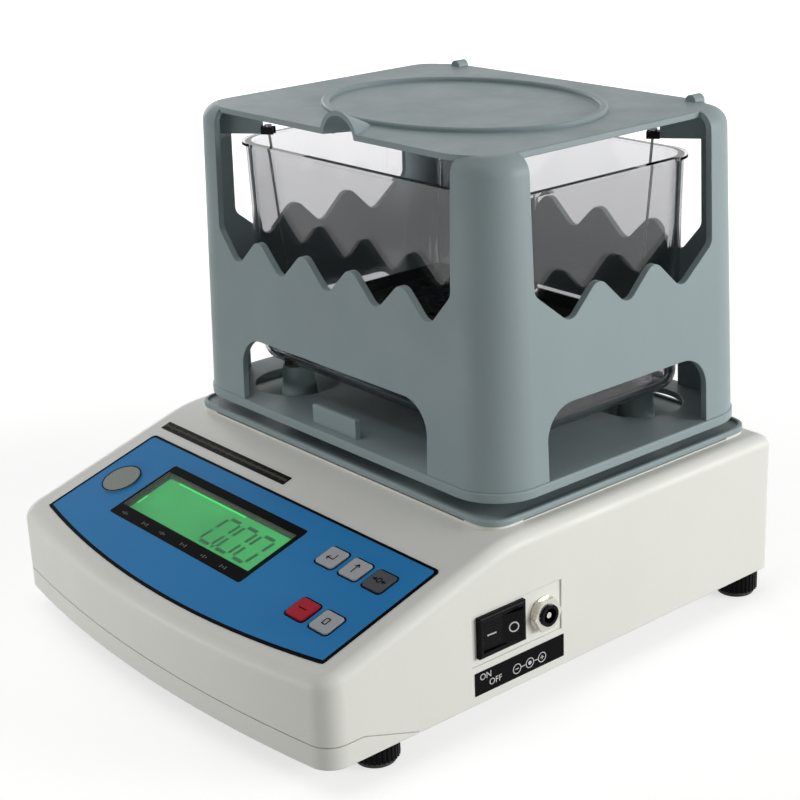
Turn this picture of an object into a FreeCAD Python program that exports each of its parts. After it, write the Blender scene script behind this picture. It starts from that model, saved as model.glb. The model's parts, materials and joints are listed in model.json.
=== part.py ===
"""Benchtop density meter: a balance with a water tank, built piece by piece.

Frame: X to the right, Y to the back, Z up. The origin lies on the bench, under
the middle of the housing. Lengths are millimetres, angles are degrees.
"""
import math
import os

import FreeCAD, Part

V = FreeCAD.Vector
UP = V(0, 0, 1)

# Housing
HOUSING_HALF_WIDTH = 95.2
HOUSING_HALF_DEPTH = 110.5
HOUSING_BOTTOM_Z = 10.5
HOUSING_TOP_Z = 65.2
FRONT_BOW = 8.5
PLAN_CORNER_RADIUS = 9.0
BACK_CORNER_RADIUS = 3.0
LEFT_REACH = 2.8
TOP_EDGE_RADIUS = 5.0
BLEND_RADIUS = 60.0
WALL = 2.5
SHELL_GAP = 0.3
FRONT_STRIP_TOP_Z = HOUSING_BOTTOM_Z + 8.1
FRONT_STRIP_LENGTH = 46.5
FRONT_STRIP_SLOPE = 24.0
FRONT_STRIP_END_Y = FRONT_STRIP_LENGTH - HOUSING_HALF_DEPTH
OVERRUN = 20.0

# Control panel, in its own frame: x right, y uphill, z out of the slope
PANEL_ANGLE = 17.0
PANEL_TOP_SHARE = 0.4217
PANEL_TOP_Y = -PANEL_TOP_SHARE * HOUSING_HALF_DEPTH
PANEL_TOP_Z = HOUSING_TOP_Z - 6.5
FILM_MARGIN = 9.0
FILM_HALF_WIDTH = HOUSING_HALF_WIDTH - FILM_MARGIN
FILM_LENGTH_SHARE = 0.4643
FILM_SIDE_LENGTH = FILM_LENGTH_SHARE * HOUSING_HALF_DEPTH
FILM_BOW = 8.7
FILM_CORNER_RADIUS = 2.0
FILM_RECESS = 0.5
FILM_PROUD = 0.2
FILM_GAP = 0.2

# Display
WINDOW_CENTRE_SHARE = 0.1833
WINDOW_LENGTH_SHARE = 0.9814
WINDOW_MIDDLE_SHARE = 0.4834
WINDOW_HEIGHT_SHARE = 0.616
WINDOW_CENTRE_X = -WINDOW_CENTRE_SHARE * FILM_HALF_WIDTH
WINDOW_CENTRE_Y = -WINDOW_MIDDLE_SHARE * FILM_SIDE_LENGTH
WINDOW_LENGTH = WINDOW_LENGTH_SHARE * FILM_HALF_WIDTH
WINDOW_HEIGHT = WINDOW_HEIGHT_SHARE * FILM_SIDE_LENGTH
WINDOW_THICKNESS = 1.5
APERTURE_LENGTH = WINDOW_LENGTH - 2.0
APERTURE_HEIGHT = WINDOW_HEIGHT - 8.0
GLASS_THICKNESS = 2.1
GLASS_LENGTH = WINDOW_LENGTH + 3.4
GLASS_HEIGHT = WINDOW_HEIGHT - 0.6
BACKLIGHT_THICKNESS = 3.0
DISPLAY_DEPTH = 3.4
DISPLAY_FRAME_WALL = 1.8
DISPLAY_FRAME_LIP = 0.3
DISPLAY_HALF_LENGTH = GLASS_LENGTH / 2 + DISPLAY_FRAME_WALL

# Keys
KEY_PITCH_SHARE = 0.1462
KEY_WIDTH_SHARE = 0.1079
KEY_HEIGHT_SHARE = 0.1696
KEY_LAST_SHARE = 0.8341
KEY_TOP_ROW_SHARE = 0.2827
KEY_LOW_ROW_SHARE = 0.7359
KEY_PITCH = KEY_PITCH_SHARE * FILM_HALF_WIDTH
KEY_WIDTH = KEY_WIDTH_SHARE * FILM_HALF_WIDTH
KEY_HEIGHT = KEY_HEIGHT_SHARE * FILM_SIDE_LENGTH
KEY_RADIUS = 1.2
KEY_PROUD = 0.9
KEY_GAP = 0.25
KEY_FLANGE_MARGIN = 0.6
KEY_FLANGE_THICKNESS = 0.8
KEY_TRAVEL = 0.4
KEY_STEM_RADIUS = 1.5
KEY_LAST_X = KEY_LAST_SHARE * FILM_HALF_WIDTH
KEY_TOP_ROW_Y = -KEY_TOP_ROW_SHARE * FILM_SIDE_LENGTH
KEY_LOW_ROW_Y = -KEY_LOW_ROW_SHARE * FILM_SIDE_LENGTH
DOME_RADIUS = 3.0
DOME_HEIGHT = 0.4
DOME_GAP = 0.45

# Circuit boards
BOARD_THICKNESS = 1.6
BOARD_EDGE = 3.5
MAIN_BOARD_LEFT_X = WINDOW_CENTRE_X - DISPLAY_HALF_LENGTH - 4 * BOARD_EDGE
MAIN_BOARD_RIGHT_X = WINDOW_CENTRE_X + DISPLAY_HALF_LENGTH + 2 * BOARD_EDGE
MAIN_BOARD_TOP_Y = WINDOW_CENTRE_Y + WINDOW_HEIGHT / 2 + 5.0
MAIN_BOARD_LOW_Y = WINDOW_CENTRE_Y - WINDOW_HEIGHT / 2 - 9.4
KEY_BOARD_GAP = 1.5
KEY_BOARD_LEFT_X = MAIN_BOARD_RIGHT_X + KEY_BOARD_GAP
KEY_BOARD_RIGHT_X = KEY_LAST_X + KEY_WIDTH / 2 + 4.5
KEY_BOARD_TOP_Y = KEY_TOP_ROW_Y + KEY_HEIGHT / 2 + 9.2
KEY_BOARD_LOW_Y = KEY_LOW_ROW_Y - KEY_HEIGHT / 2 - 8.4
BOARD_BOSS_RADIUS = 2.8
BOARD_SCREW_RADIUS = 1.0
BOARD_SCREW_HEAD = 1.9
CONNECTOR_HEIGHT = 6.0
CHIP_HEIGHT = 1.8
BUZZER_RADIUS = 6.0
BUZZER_HEIGHT = 7.0

# Stickers
BADGE_RADIUS = 8.0
BADGE_X = WINDOW_CENTRE_X - WINDOW_LENGTH / 2 - BADGE_RADIUS - 5.9
BADGE_Y = WINDOW_CENTRE_Y - 0.9
BADGE_THICKNESS = 0.5
STRIP_LENGTH = 82.0
STRIP_LEFT_X = -FILM_HALF_WIDTH - 1.8
STRIP_RIGHT_X = STRIP_LEFT_X + STRIP_LENGTH
STRIP_LOW_Y = 4.6
STRIP_HEIGHT = 4.4
STICKER_THICKNESS = 0.25
LABEL_HEIGHT = 8.4
LABEL_LOW_Z = HOUSING_BOTTOM_Z + 3.4

# Power inlet and switch on the right side
SIDE_RECESS = 0.5
SWITCH_SHARE = 0.2624
SWITCH_Y = -SWITCH_SHARE * HOUSING_HALF_DEPTH
SWITCH_Z = HOUSING_BOTTOM_Z + 24.4
RECESS_FRONT_Y = SWITCH_Y - 13.0
RECESS_BACK_Y = SWITCH_Y + 28.2
RECESS_LOW_Z = SWITCH_Z - 10.2
RECESS_TOP_Z = SWITCH_Z + 8.4
LABEL_FRONT_Y = SWITCH_Y - 12.0
LABEL_BACK_Y = SWITCH_Y + 29.0
SWITCH_LENGTH = 21.0
SWITCH_HEIGHT = 15.0
SWITCH_BEZEL = 2.0
SWITCH_BODY_LENGTH = 18.9
SWITCH_BODY_HEIGHT = 13.2
SWITCH_BODY_DEPTH = 13.0
SWITCH_WALL = 0.8
ROCKER_LENGTH = 16.4
ROCKER_HEIGHT = 10.6
ROCKER_SIDE_GAP = 0.35
ROCKER_END_GAP = 0.8
ROCKER_TILT = 10.0
ROCKER_END_RISE = 2.2
ROCKER_MIDDLE_RISE = 1.2
ROCKER_ROOT_DEPTH = 3.6
ROCKER_ROOT_LENGTH = 11.0
ROCKER_PIVOT_OUT = 0.3
ROCKER_PIN_RADIUS = 1.0
ROCKER_PIN_LENGTH = 0.7
TERMINAL_LENGTH = 7.0
TERMINAL_WIDTH = 4.8
TERMINAL_THICKNESS = 0.8
TERMINAL_OFFSET = 5.0
INLET_Y = SWITCH_Y + 20.0
INLET_Z = SWITCH_Z - 1.5
INLET_BARREL_RADIUS = 3.9
INLET_HOLE_GAP = 0.35
INLET_BORE_RADIUS = 2.75
INLET_PROUD = 3.6
INLET_BODY_RADIUS = 5.4
INLET_BODY_LENGTH = 9.0
INLET_PIN_RADIUS = 1.05
INLET_BORE_DEPTH = 9.5
NUT_ACROSS_FLATS = 11.0
NUT_THICKNESS = 2.2
WASHER_RADIUS = 6.2
WASHER_THICKNESS = 0.6
THREAD_FIT = 0.05

# Levelling feet
FOOT_FRONT_X = HOUSING_HALF_WIDTH - 11.7
FOOT_FRONT_Y = 35.8 - HOUSING_HALF_DEPTH
FOOT_BACK_X = HOUSING_HALF_WIDTH - 9.2
FOOT_BACK_Y = HOUSING_HALF_DEPTH - 8.0
FOOT_PAD_RADIUS = 7.0
FOOT_PAD_HEIGHT = 2.0
FOOT_PEG_RADIUS = 1.5
FOOT_PEG_HEIGHT = 3.0
FOOT_PEG_FIT = 0.05
FOOT_KNOB_RADIUS = 8.2
FOOT_KNOB_TOP_Z = HOUSING_BOTTOM_Z - 0.9
KNURL_COUNT = 30
KNURL_DEPTH = 0.45
FOOT_STUD_RADIUS = 3.0
FOOT_STUD_TOP_Z = HOUSING_BOTTOM_Z + 9.5
INSERT_RADIUS = 4.4
INSERT_TOP_Z = HOUSING_BOTTOM_Z + 11.0
INSERT_BOSS_WALL = 2.0

# Load cell and what carries it
TRAY_DEPTH_SHARE = 0.599
TRAY_HALF_Y = TRAY_DEPTH_SHARE * HOUSING_HALF_DEPTH
CAGE_Y = HOUSING_HALF_DEPTH - TRAY_HALF_Y - 3.3
CELL_LENGTH = 80.0
CELL_SIDE = 12.7
CELL_BOTTOM_Z = HOUSING_BOTTOM_Z + 13.5
CELL_HOLE_RADIUS = 4.2
CELL_HOLE_OFFSET = 7.0
CELL_SLOT = 2.0
CELL_END_HOLE = 5.0
CELL_HOLE_PITCH = 15.0
CELL_SCREW_RADIUS = 2.0
CELL_SCREW_HEAD_RADIUS = 3.6
CELL_SCREW_HEAD_HEIGHT = 2.6
CELL_SCREW_BITE = 6.0
CELL_BASE_LENGTH = 26.0
CELL_BASE_WIDTH = 22.0
CELL_BASE_THICKNESS = 6.0
STOP_GAP = 0.55
STOP_BOSS_RADIUS = 5.0

# Pan carrier
CARRIER_PAD_THICKNESS = 4.0
CARRIER_LINK_THICKNESS = 5.0
CARRIER_GAP = 1.0
CARRIER_LAP = 1.0
CARRIER_COLUMN_RADIUS = 8.0
CARRIER_ARM_THICKNESS = 3.0
CARRIER_ARM_WIDTH = 20.0
COLUMN_HOLE_RADIUS = 13.0
PAN_SCREW_RADIUS = 1.5
PAN_SCREW_HEAD = 2.9
PAN_SCREW_HEAD_HEIGHT = 1.4
PAN_SCREW_BITE = 1.6
PAN_SCREW_INSET = 6.0

# Fixed tray that carries the tank
TRAY_HALF_X = HOUSING_HALF_WIDTH - 7.2
TRAY_CORNER_RADIUS = 9.0
TRAY_BOTTOM_Z = HOUSING_TOP_Z + 1.1
TRAY_THICKNESS = 2.1
TRAY_POCKET_DEPTH = 1.0
TRAY_RIM_WIDTH = 1.6
TRAY_COLLAR_HEIGHT = 1.4
TRAY_COLLAR_WALL = 1.6
TRAY_SCREW_X = TRAY_HALF_X - 54.0
TRAY_SCREW_Y = TRAY_HALF_Y - 16.2
TRAY_SCREW_RADIUS = 1.5
TRAY_SCREW_HEAD = 3.0
TRAY_SCREW_HEAD_HEIGHT = 1.6
TRAY_BOSS_DEPTH = 9.0
KERB_WIDTH = 2.2
KERB_INSET = 0.4
KERB_CORNER_LENGTH = 14.0
LOW_KERB_HEIGHT = 0.4

# Weighing plate
PLATE_HALF_X = TRAY_HALF_X + 0.7
PLATE_HALF_Y = TRAY_HALF_Y - 0.7
PLATE_CORNER_RADIUS = 19.0
PLATE_TOP_Z = TRAY_BOTTOM_Z + 10.0
PLATE_BAND = 3.4
PLATE_THICKNESS = 2.2
PLATE_RIM_WIDTH = 2.4
PLATE_EDGE_RADIUS = 0.7
POST_HOLE_RADIUS = 17.5
TAB_WIDTH = 25.4
TAB_X = -1.3
TAB_THICKNESS = 2.2
TAB_HEIGHT = 7.6
TAB_FACE_Y = 3.5 - PLATE_HALF_Y
PLATFORM_TRAVEL = 0.5

# Tank posts and tank
POST_X = PLATE_HALF_X - 33.0
POST_Y = PLATE_HALF_Y - 28.0
CARRIER_X_REACH = POST_X + 10.0
CARRIER_Y_REACH = POST_Y + 9.0
POST_FOOT_RADIUS = 7.5
POST_TOP_RADIUS = 6.0
POST_TOP_Z = PLATE_TOP_Z + 7.4
POST_PEG_RADIUS = 3.0
POST_PEG_FIT = 0.04
PAD_THICKNESS = 1.0
TANK_RIM_HALF_X = PLATE_HALF_X - 11.7
TANK_RIM_HALF_Y = PLATE_HALF_Y - 16.5
TANK_TAPER = 2.2
TANK_CORNER_RADIUS = 14.0
TANK_WALL = 2.4
TANK_BOTTOM_RADIUS = 7.0
TANK_LIP = 0.3
TANK_LIP_HEIGHT = 1.2
TANK_LIFT = 3.0

# Weighing frame
FRAME_HALF_X = PLATE_HALF_X - 0.6
FRAME_HALF_Y = PLATE_HALF_Y - 0.5
FRAME_TAPER = 4.0
FRAME_CORNER_RADIUS = 18.4
FRAME_HEIGHT = 111.4
FRAME_TOP_Z = PLATE_TOP_Z + FRAME_HEIGHT
TANK_RIM_Z = FRAME_TOP_Z - 15.4
FRAME_WALL = 2.5
FRAME_TOP_THICKNESS = 2.0
FRAME_DOME_RADIUS = 6.5
TOP_HALF_X = FRAME_HALF_X - 9.6
TOP_HALF_Y = FRAME_HALF_Y - 5.6
VALLEY_SHARE = 0.4715
PEAK_SHARE = 0.5887
WINDOW_END_SHARE = 0.5871
ARCH_SHARE = 0.2293
VALLEY_Z = PLATE_TOP_Z + VALLEY_SHARE * FRAME_HEIGHT
PEAK_Z = PLATE_TOP_Z + PEAK_SHARE * FRAME_HEIGHT
WINDOW_END_Z = PLATE_TOP_Z + WINDOW_END_SHARE * FRAME_HEIGHT
ARCH_TOP_Z = PLATE_TOP_Z + ARCH_SHARE * FRAME_HEIGHT
ZIGZAG_RADIUS = 4.5
FRONT_WINDOW_HALF = FRAME_HALF_X - 21.7
SIDE_WINDOW_HALF = FRAME_HALF_Y - 21.6
FRONT_PITCH_SHARE = 0.4146
SIDE_PITCH_SHARE = 0.6267
FRONT_PEAKS = 4
SIDE_PEAKS = 2
FRONT_ARCH_HALF = FRAME_HALF_X - 33.8
SIDE_ARCH_HALF = FRAME_HALF_Y - 25.2
ARCH_CORNER_RADIUS = 12.0
RING_X = 3.5
RING_HALF_X = TOP_HALF_X - 19.0
RING_HALF_Y = TOP_HALF_Y - 14.4
RING_WIDTH = 3.0
RING_HEIGHT = 1.7
RING_EDGE_RADIUS = 0.8
SPOUT_X = 6.8
SPOUT_RADIUS = 10.4
SPOUT_SINK = 3.3
SPOUT_END_RADIUS = 3.0
SPOUT_LENGTH = 15.5
SPOUT_WALL = 1.7
REAR_LUG_MIDDLE_X = 2.0
REAR_LUG_X = TOP_HALF_X - 15.5
REAR_LUG_RADIUS = 2.4
REAR_LUG_LENGTH = 5.0
RIB_END_X = TOP_HALF_X - 18.0
RIB_END_Y = TOP_HALF_Y - 15.6
RIB_ANGLE = math.degrees(math.atan2(RIB_END_Y, RIB_END_X))
RIB_THICKNESS = 3.0
RIB_BOTTOM_Z = FRAME_TOP_Z - 11.7
RIB_INNER = math.hypot(RIB_END_X, RIB_END_Y)
RIB_OUTER = RIB_INNER + 25.0

# Hooks, wires and basket
HOOK_LENGTH = 4.8
HOOK_WIDTH = 3.6
HOOK_BOTTOM_Z = FRAME_TOP_Z - 11.9
HOOK_TOP_Z = FRAME_TOP_Z - 9.2
HOOK_SLOT = 1.8
WIRE_RADIUS = 0.5
WIRE_COLLAR_RADIUS = 1.4
WIRE_COLLAR_HEIGHT = 0.8
BASKET_HALF_X = TANK_RIM_HALF_X - 20.0
BASKET_HALF_Y = TANK_RIM_HALF_Y - 8.5
BASKET_RADIUS = 6.0
BASKET_BOTTOM_Z = POST_TOP_Z + 19.3
BASKET_HEIGHT = 6.0
BASKET_WALL = 1.4
BASKET_HOLE_RADIUS = 2.2
BASKET_HOLE_PITCH = 7.4
BASKET_LUG = 5.0

# Housing screws
HOUSING_SCREW_FRONT_X = HOUSING_HALF_WIDTH - 35.2
HOUSING_SCREW_FRONT_Y = 11.9 - HOUSING_HALF_DEPTH
HOUSING_SCREW_BACK_X = HOUSING_HALF_WIDTH - 15.2
HOUSING_SCREW_BACK_Y = HOUSING_HALF_DEPTH - 40.5
HOUSING_SCREW_RADIUS = 1.5
HOUSING_SCREW_HEAD = 3.0
HOUSING_SCREW_HEAD_HEIGHT = 1.3
HOUSING_SCREW_LENGTH = 14.0
HOUSING_BOSS_RADIUS = 4.0
CLEARANCE = 0.35
SOCKET_SHARE = 0.5
SEAT_GAP = 0.4

# Cables
LEAD_RADIUS = 0.8
CELL_CABLE_RADIUS = 1.6
BEND_RADIUS = 8.0
RIBBON_THICKNESS = 0.3
RIBBON_WIDTH = 14.0

SIDES = (-1, 1)
CORNERS = [(sx, sy) for sx in SIDES for sy in SIDES]

INNER_FLOOR_Z = HOUSING_BOTTOM_Z + WALL
SIDE_FACE_X = HOUSING_HALF_WIDTH - SIDE_RECESS
TRAY_TOP_Z = TRAY_BOTTOM_Z + TRAY_THICKNESS
TRAY_FLOOR_Z = TRAY_TOP_Z - TRAY_POCKET_DEPTH
CELL_TOP_Z = CELL_BOTTOM_Z + CELL_SIDE
PLATE_UNDER_Z = PLATE_TOP_Z - PLATE_THICKNESS
TANK_BOTTOM_Z = POST_TOP_Z + PAD_THICKNESS
FRAME_CEILING_Z = FRAME_TOP_Z - FRAME_TOP_THICKNESS
PANEL_WALL_UNDER = -FILM_RECESS - WALL
BOARD_TOP = -DISPLAY_DEPTH - GLASS_THICKNESS - BACKLIGHT_THICKNESS
KEY_FLANGE_TOP = PANEL_WALL_UNDER
KEY_STEM_END = KEY_FLANGE_TOP - 2 * KEY_FLANGE_THICKNESS
KEY_BOARD_TOP = KEY_STEM_END - DOME_GAP - DOME_HEIGHT
KEY_PLACES = {
    "set_key": (KEY_LAST_X - 2 * KEY_PITCH, KEY_TOP_ROW_Y),
    "up_key": (KEY_LAST_X - KEY_PITCH, KEY_TOP_ROW_Y),
    "zero_key": (KEY_LAST_X, KEY_TOP_ROW_Y),
    "red_key": (KEY_LAST_X - KEY_PITCH, KEY_LOW_ROW_Y),
    "function_key": (KEY_LAST_X, KEY_LOW_ROW_Y),
}
FEET = {
    "front_left": (-FOOT_FRONT_X, FOOT_FRONT_Y),
    "front_right": (FOOT_FRONT_X, FOOT_FRONT_Y),
    "back_left": (-FOOT_BACK_X, FOOT_BACK_Y),
    "back_right": (FOOT_BACK_X, FOOT_BACK_Y),
}
HOUSING_SCREWS = [
    (side * x, y)
    for side in SIDES
    for x, y in (
        (HOUSING_SCREW_FRONT_X, HOUSING_SCREW_FRONT_Y),
        (HOUSING_SCREW_BACK_X, HOUSING_SCREW_BACK_Y),
    )
]


# Basic shapes
def box(x0, x1, y0, y1, z0, z1):
    return Part.makeBox(x1 - x0, y1 - y0, z1 - z0, V(x0, y0, z0))


def centred_box(x, y, length, width, z0, z1):
    return box(x - length / 2, x + length / 2, y - width / 2, y + width / 2, z0, z1)


def cylinder(radius, x, y, z0, z1):
    return Part.makeCylinder(radius, z1 - z0, V(x, y, z0))


def side_cylinder(radius, x0, x1, y, z):
    """A cylinder lying along X."""
    return Part.makeCylinder(radius, x1 - x0, V(x0, y, z), V(1, 0, 0))


def rounded_wire(half_x, half_y, radius, z, x=0.0, y=0.0):
    """Closed outline of a rectangle with round corners."""
    ends = []
    arcs = []
    for turn, (sx, sy) in enumerate(((1, 1), (-1, 1), (-1, -1), (1, -1))):
        centre = V(x + sx * (half_x - radius), y + sy * (half_y - radius), z)
        points = []
        for step in range(3):
            angle = math.radians(90 * turn + 45 * step)
            points.append(centre + V(math.cos(angle), math.sin(angle), 0) * radius)
        arcs.append(Part.Arc(*points).toShape())
        ends.append((points[0], points[2]))
    edges = []
    for index, arc in enumerate(arcs):
        edges.append(arc)
        start = ends[index][1]
        finish = ends[(index + 1) % len(ends)][0]
        edges.append(Part.LineSegment(start, finish).toShape())
    return Part.Wire(edges)


def rounded_block(half_x, half_y, radius, z0, z1, x=0.0, y=0.0):
    face = Part.Face(rounded_wire(half_x, half_y, radius, z0, x, y))
    return face.extrude(V(0, 0, z1 - z0))


def tapered_block(half_x, half_y, radius, z0, z1, taper, x=0.0, y=0.0):
    """A round-cornered block whose half sizes shrink by taper from z0 to z1."""
    low = rounded_wire(half_x, half_y, radius, z0, x, y)
    shrink = min(taper, radius / 2)
    high = rounded_wire(half_x - taper, half_y - taper, radius - shrink, z1, x, y)
    return Part.makeLoft([low, high], True, True)


def polygon_prism(points, direction):
    """A prism from a closed list of points, extruded along a vector."""
    wire = Part.makePolygon(points + [points[0]])
    return Part.Face(wire).extrude(direction)


def edges_along(shape, direction, keep=None):
    """Straight edges of a shape that run along a direction."""
    found = []
    for edge in shape.Edges:
        if edge.Curve.TypeId != "Part::GeomLine":
            continue
        way = edge.tangentAt(edge.FirstParameter)
        if abs(abs(way.dot(direction)) - 1) < 0.001 and (keep is None or keep(edge)):
            found.append(edge)
    return found


def edges_at_z(shape, z, tolerance=0.01):
    return [
        edge
        for edge in shape.Edges
        if abs(edge.BoundBox.ZMin - z) < tolerance and abs(edge.BoundBox.ZMax - z) < tolerance
    ]


def fuse_all(shapes):
    first = shapes[0]
    return first.multiFuse(shapes[1:]).removeSplitter() if len(shapes) > 1 else first


def cut_all(shape, tools):
    return shape.cut(tools) if tools else shape


def ring_tube(outer, inner, x, y, z0, z1):
    return cylinder(outer, x, y, z0, z1).cut(cylinder(inner, x, y, z0, z1))


def pan_head_screw(radius, head_radius, head_height, length, x, y, seat_z, way):
    """A screw whose head sits on seat_z; way is 1 when the head is above it."""
    socket_radius = head_radius * SOCKET_SHARE
    socket_depth = head_height * SOCKET_SHARE
    head_z = sorted((seat_z, seat_z + way * head_height))
    shank_z = sorted((seat_z, seat_z - way * length))
    socket_z = sorted((seat_z + way * head_height, seat_z + way * (head_height - socket_depth)))
    head = cylinder(head_radius, x, y, *head_z)
    shank = cylinder(radius, x, y, *shank_z)
    socket = cylinder(socket_radius, x, y, *socket_z)
    return head.fuse(shank).cut(socket).removeSplitter()


def on_panel(shape):
    """Move a shape from the panel's own frame onto the slope."""
    placed = shape.copy()
    placed.rotate(V(0, 0, 0), V(1, 0, 0), PANEL_ANGLE)
    placed.translate(V(0, PANEL_TOP_Y, PANEL_TOP_Z))
    return placed


def panel_point(x, y, z):
    """A point of the panel's own frame in the part's frame."""
    angle = math.radians(PANEL_ANGLE)
    forward = y * math.cos(angle) - z * math.sin(angle)
    rise = y * math.sin(angle) + z * math.cos(angle)
    return V(x, PANEL_TOP_Y + forward, PANEL_TOP_Z + rise)


def cable(points, radius, bend=BEND_RADIUS):
    """A round cable through points, with an arc of one radius at each bend."""
    edges = []
    start = points[0]
    for before, corner, after in zip(points, points[1:], points[2:]):
        way_in = (corner - before).normalize()
        way_out = (after - corner).normalize()
        half_turn = way_in.getAngle(way_out) / 2
        reach = bend * math.tan(half_turn)
        arc_start = corner - way_in * reach
        arc_end = corner + way_out * reach
        inward = (way_out - way_in).normalize()
        middle = corner + inward * (bend / math.cos(half_turn) - bend)
        edges.append(Part.LineSegment(start, arc_start).toShape())
        edges.append(Part.Arc(arc_start, middle, arc_end).toShape())
        start = arc_end
    edges.append(Part.LineSegment(start, points[-1]).toShape())
    spine = Part.Wire(edges)
    way = (points[1] - points[0]).normalize()
    section = Part.Wire([Part.makeCircle(radius, points[0], way)])
    return spine.makePipeShell([section], True, False)


# Housing shells
def plan_block(inset, z0, z1):
    """The housing's outline from above, bowed at the front, as a block."""
    right = HOUSING_HALF_WIDTH - inset
    left = inset - HOUSING_HALF_WIDTH - LEFT_REACH
    back = HOUSING_HALF_DEPTH - inset
    front = inset - HOUSING_HALF_DEPTH
    corner_y = front + FRONT_BOW
    edges = [
        Part.LineSegment(V(right, corner_y, z0), V(right, back, z0)).toShape(),
        Part.LineSegment(V(right, back, z0), V(left, back, z0)).toShape(),
        Part.LineSegment(V(left, back, z0), V(left, corner_y, z0)).toShape(),
        Part.Arc(V(left, corner_y, z0), V(0, front, z0), V(right, corner_y, z0)).toShape(),
    ]
    block = Part.Face(Part.Wire(edges)).extrude(V(0, 0, z1 - z0))
    at_front = lambda edge: edge.BoundBox.YMax < 0
    at_back = lambda edge: edge.BoundBox.YMin > 0
    block = block.makeFillet(PLAN_CORNER_RADIUS - inset, edges_along(block, UP, at_front))
    if BACK_CORNER_RADIUS > 2 * inset:
        block = block.makeFillet(BACK_CORNER_RADIUS - inset, edges_along(block, UP, at_back))
    return block


def top_profile_block(inset):
    """Everything below the sloping panel and the flat top, across the housing."""
    slope = math.radians(PANEL_ANGLE)
    flat_z = HOUSING_TOP_Z - inset
    plane_y = PANEL_TOP_Y + inset * math.sin(slope)
    plane_z = PANEL_TOP_Z - inset * math.cos(slope)
    break_y = plane_y + (flat_z - plane_z) / math.tan(slope)
    far = HOUSING_HALF_DEPTH + OVERRUN
    side = -HOUSING_HALF_WIDTH - OVERRUN
    low_z = -OVERRUN
    reach = BLEND_RADIUS * math.tan(slope / 2)
    sag = BLEND_RADIUS / math.cos(slope / 2) - BLEND_RADIUS
    front_z = plane_z - (plane_y + far) * math.tan(slope)
    start = V(side, break_y - reach * math.cos(slope), flat_z - reach * math.sin(slope))
    middle = V(side, break_y + sag * math.sin(slope / 2), flat_z - sag * math.cos(slope / 2))
    end = V(side, break_y + reach, flat_z)
    corners = [V(side, far, flat_z), V(side, far, low_z), V(side, -far, low_z), V(side, -far, front_z)]
    edges = [Part.Arc(start, middle, end).toShape(), Part.LineSegment(end, corners[0]).toShape()]
    for one, other in zip(corners, corners[1:]):
        edges.append(Part.LineSegment(one, other).toShape())
    edges.append(Part.LineSegment(corners[-1], start).toShape())
    return Part.Face(Part.Wire(edges)).extrude(V(-2 * side, 0, 0))


def housing_form(inset, low_z):
    """The housing's outer form, or its hollow when inset, with round top edges."""
    form = plan_block(inset, low_z, HOUSING_TOP_Z + OVERRUN).common(top_profile_block(inset))
    radius = TOP_EDGE_RADIUS - inset
    top_edges = []
    for edge in form.Edges:
        middle = edge.valueAt((edge.FirstParameter + edge.LastParameter) / 2)
        on_bottom = abs(edge.BoundBox.ZMax - low_z) < radius
        upright = edge.BoundBox.ZMin - low_z < radius
        across = edge.BoundBox.XLength > HOUSING_HALF_WIDTH and abs(middle.y) < HOUSING_HALF_DEPTH / 2
        if not (on_bottom or upright or across):
            top_edges.append(edge)
    return form.makeFillet(radius, top_edges)


def film_block(margin, z0, z1):
    """The panel film's outline, straight above and bowed below, as a block."""
    x = FILM_HALF_WIDTH + margin
    top = margin
    side_y = -FILM_SIDE_LENGTH - margin
    low_y = -FILM_SIDE_LENGTH - FILM_BOW - margin
    edges = [
        Part.LineSegment(V(-x, top, z0), V(-x, side_y, z0)).toShape(),
        Part.Arc(V(-x, side_y, z0), V(0, low_y, z0), V(x, side_y, z0)).toShape(),
        Part.LineSegment(V(x, side_y, z0), V(x, top, z0)).toShape(),
        Part.LineSegment(V(x, top, z0), V(-x, top, z0)).toShape(),
    ]
    block = Part.Face(Part.Wire(edges)).extrude(V(0, 0, z1 - z0))
    return block.makeFillet(FILM_CORNER_RADIUS, edges_along(block, UP))


def window_block(margin, z0, z1):
    return rounded_block(
        WINDOW_LENGTH / 2 + margin, WINDOW_HEIGHT / 2 + margin, KEY_RADIUS, z0, z1,
        WINDOW_CENTRE_X, WINDOW_CENTRE_Y,
    )


def key_block(place, margin, z0, z1):
    x, y = place
    return rounded_block(
        KEY_WIDTH / 2 + margin, KEY_HEIGHT / 2 + margin, KEY_RADIUS + max(margin, 0), z0, z1, x, y
    )


def board_corners(left, right, low, top):
    return [
        (x, y)
        for x in (left + BOARD_EDGE, right - BOARD_EDGE)
        for y in (low + BOARD_EDGE, top - BOARD_EDGE)
    ]


MAIN_BOARD_CORNERS = board_corners(
    MAIN_BOARD_LEFT_X, MAIN_BOARD_RIGHT_X, MAIN_BOARD_LOW_Y, MAIN_BOARD_TOP_Y
)
KEY_BOARD_CORNERS = board_corners(
    KEY_BOARD_LEFT_X, KEY_BOARD_RIGHT_X, KEY_BOARD_LOW_Y, KEY_BOARD_TOP_Y
)


def panel_bosses():
    """Posts under the panel that the two boards screw to."""
    bosses = []
    holes = []
    for corners, board_top in ((MAIN_BOARD_CORNERS, BOARD_TOP), (KEY_BOARD_CORNERS, KEY_BOARD_TOP)):
        for x, y in corners:
            bosses.append(cylinder(BOARD_BOSS_RADIUS, x, y, board_top, PANEL_WALL_UNDER + WALL / 2))
            hole_top = PANEL_WALL_UNDER + WALL / 4
            holes.append(cylinder(BOARD_SCREW_RADIUS + THREAD_FIT, x, y, board_top, hole_top))
    return [on_panel(boss) for boss in bosses], [on_panel(hole) for hole in holes]


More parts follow.
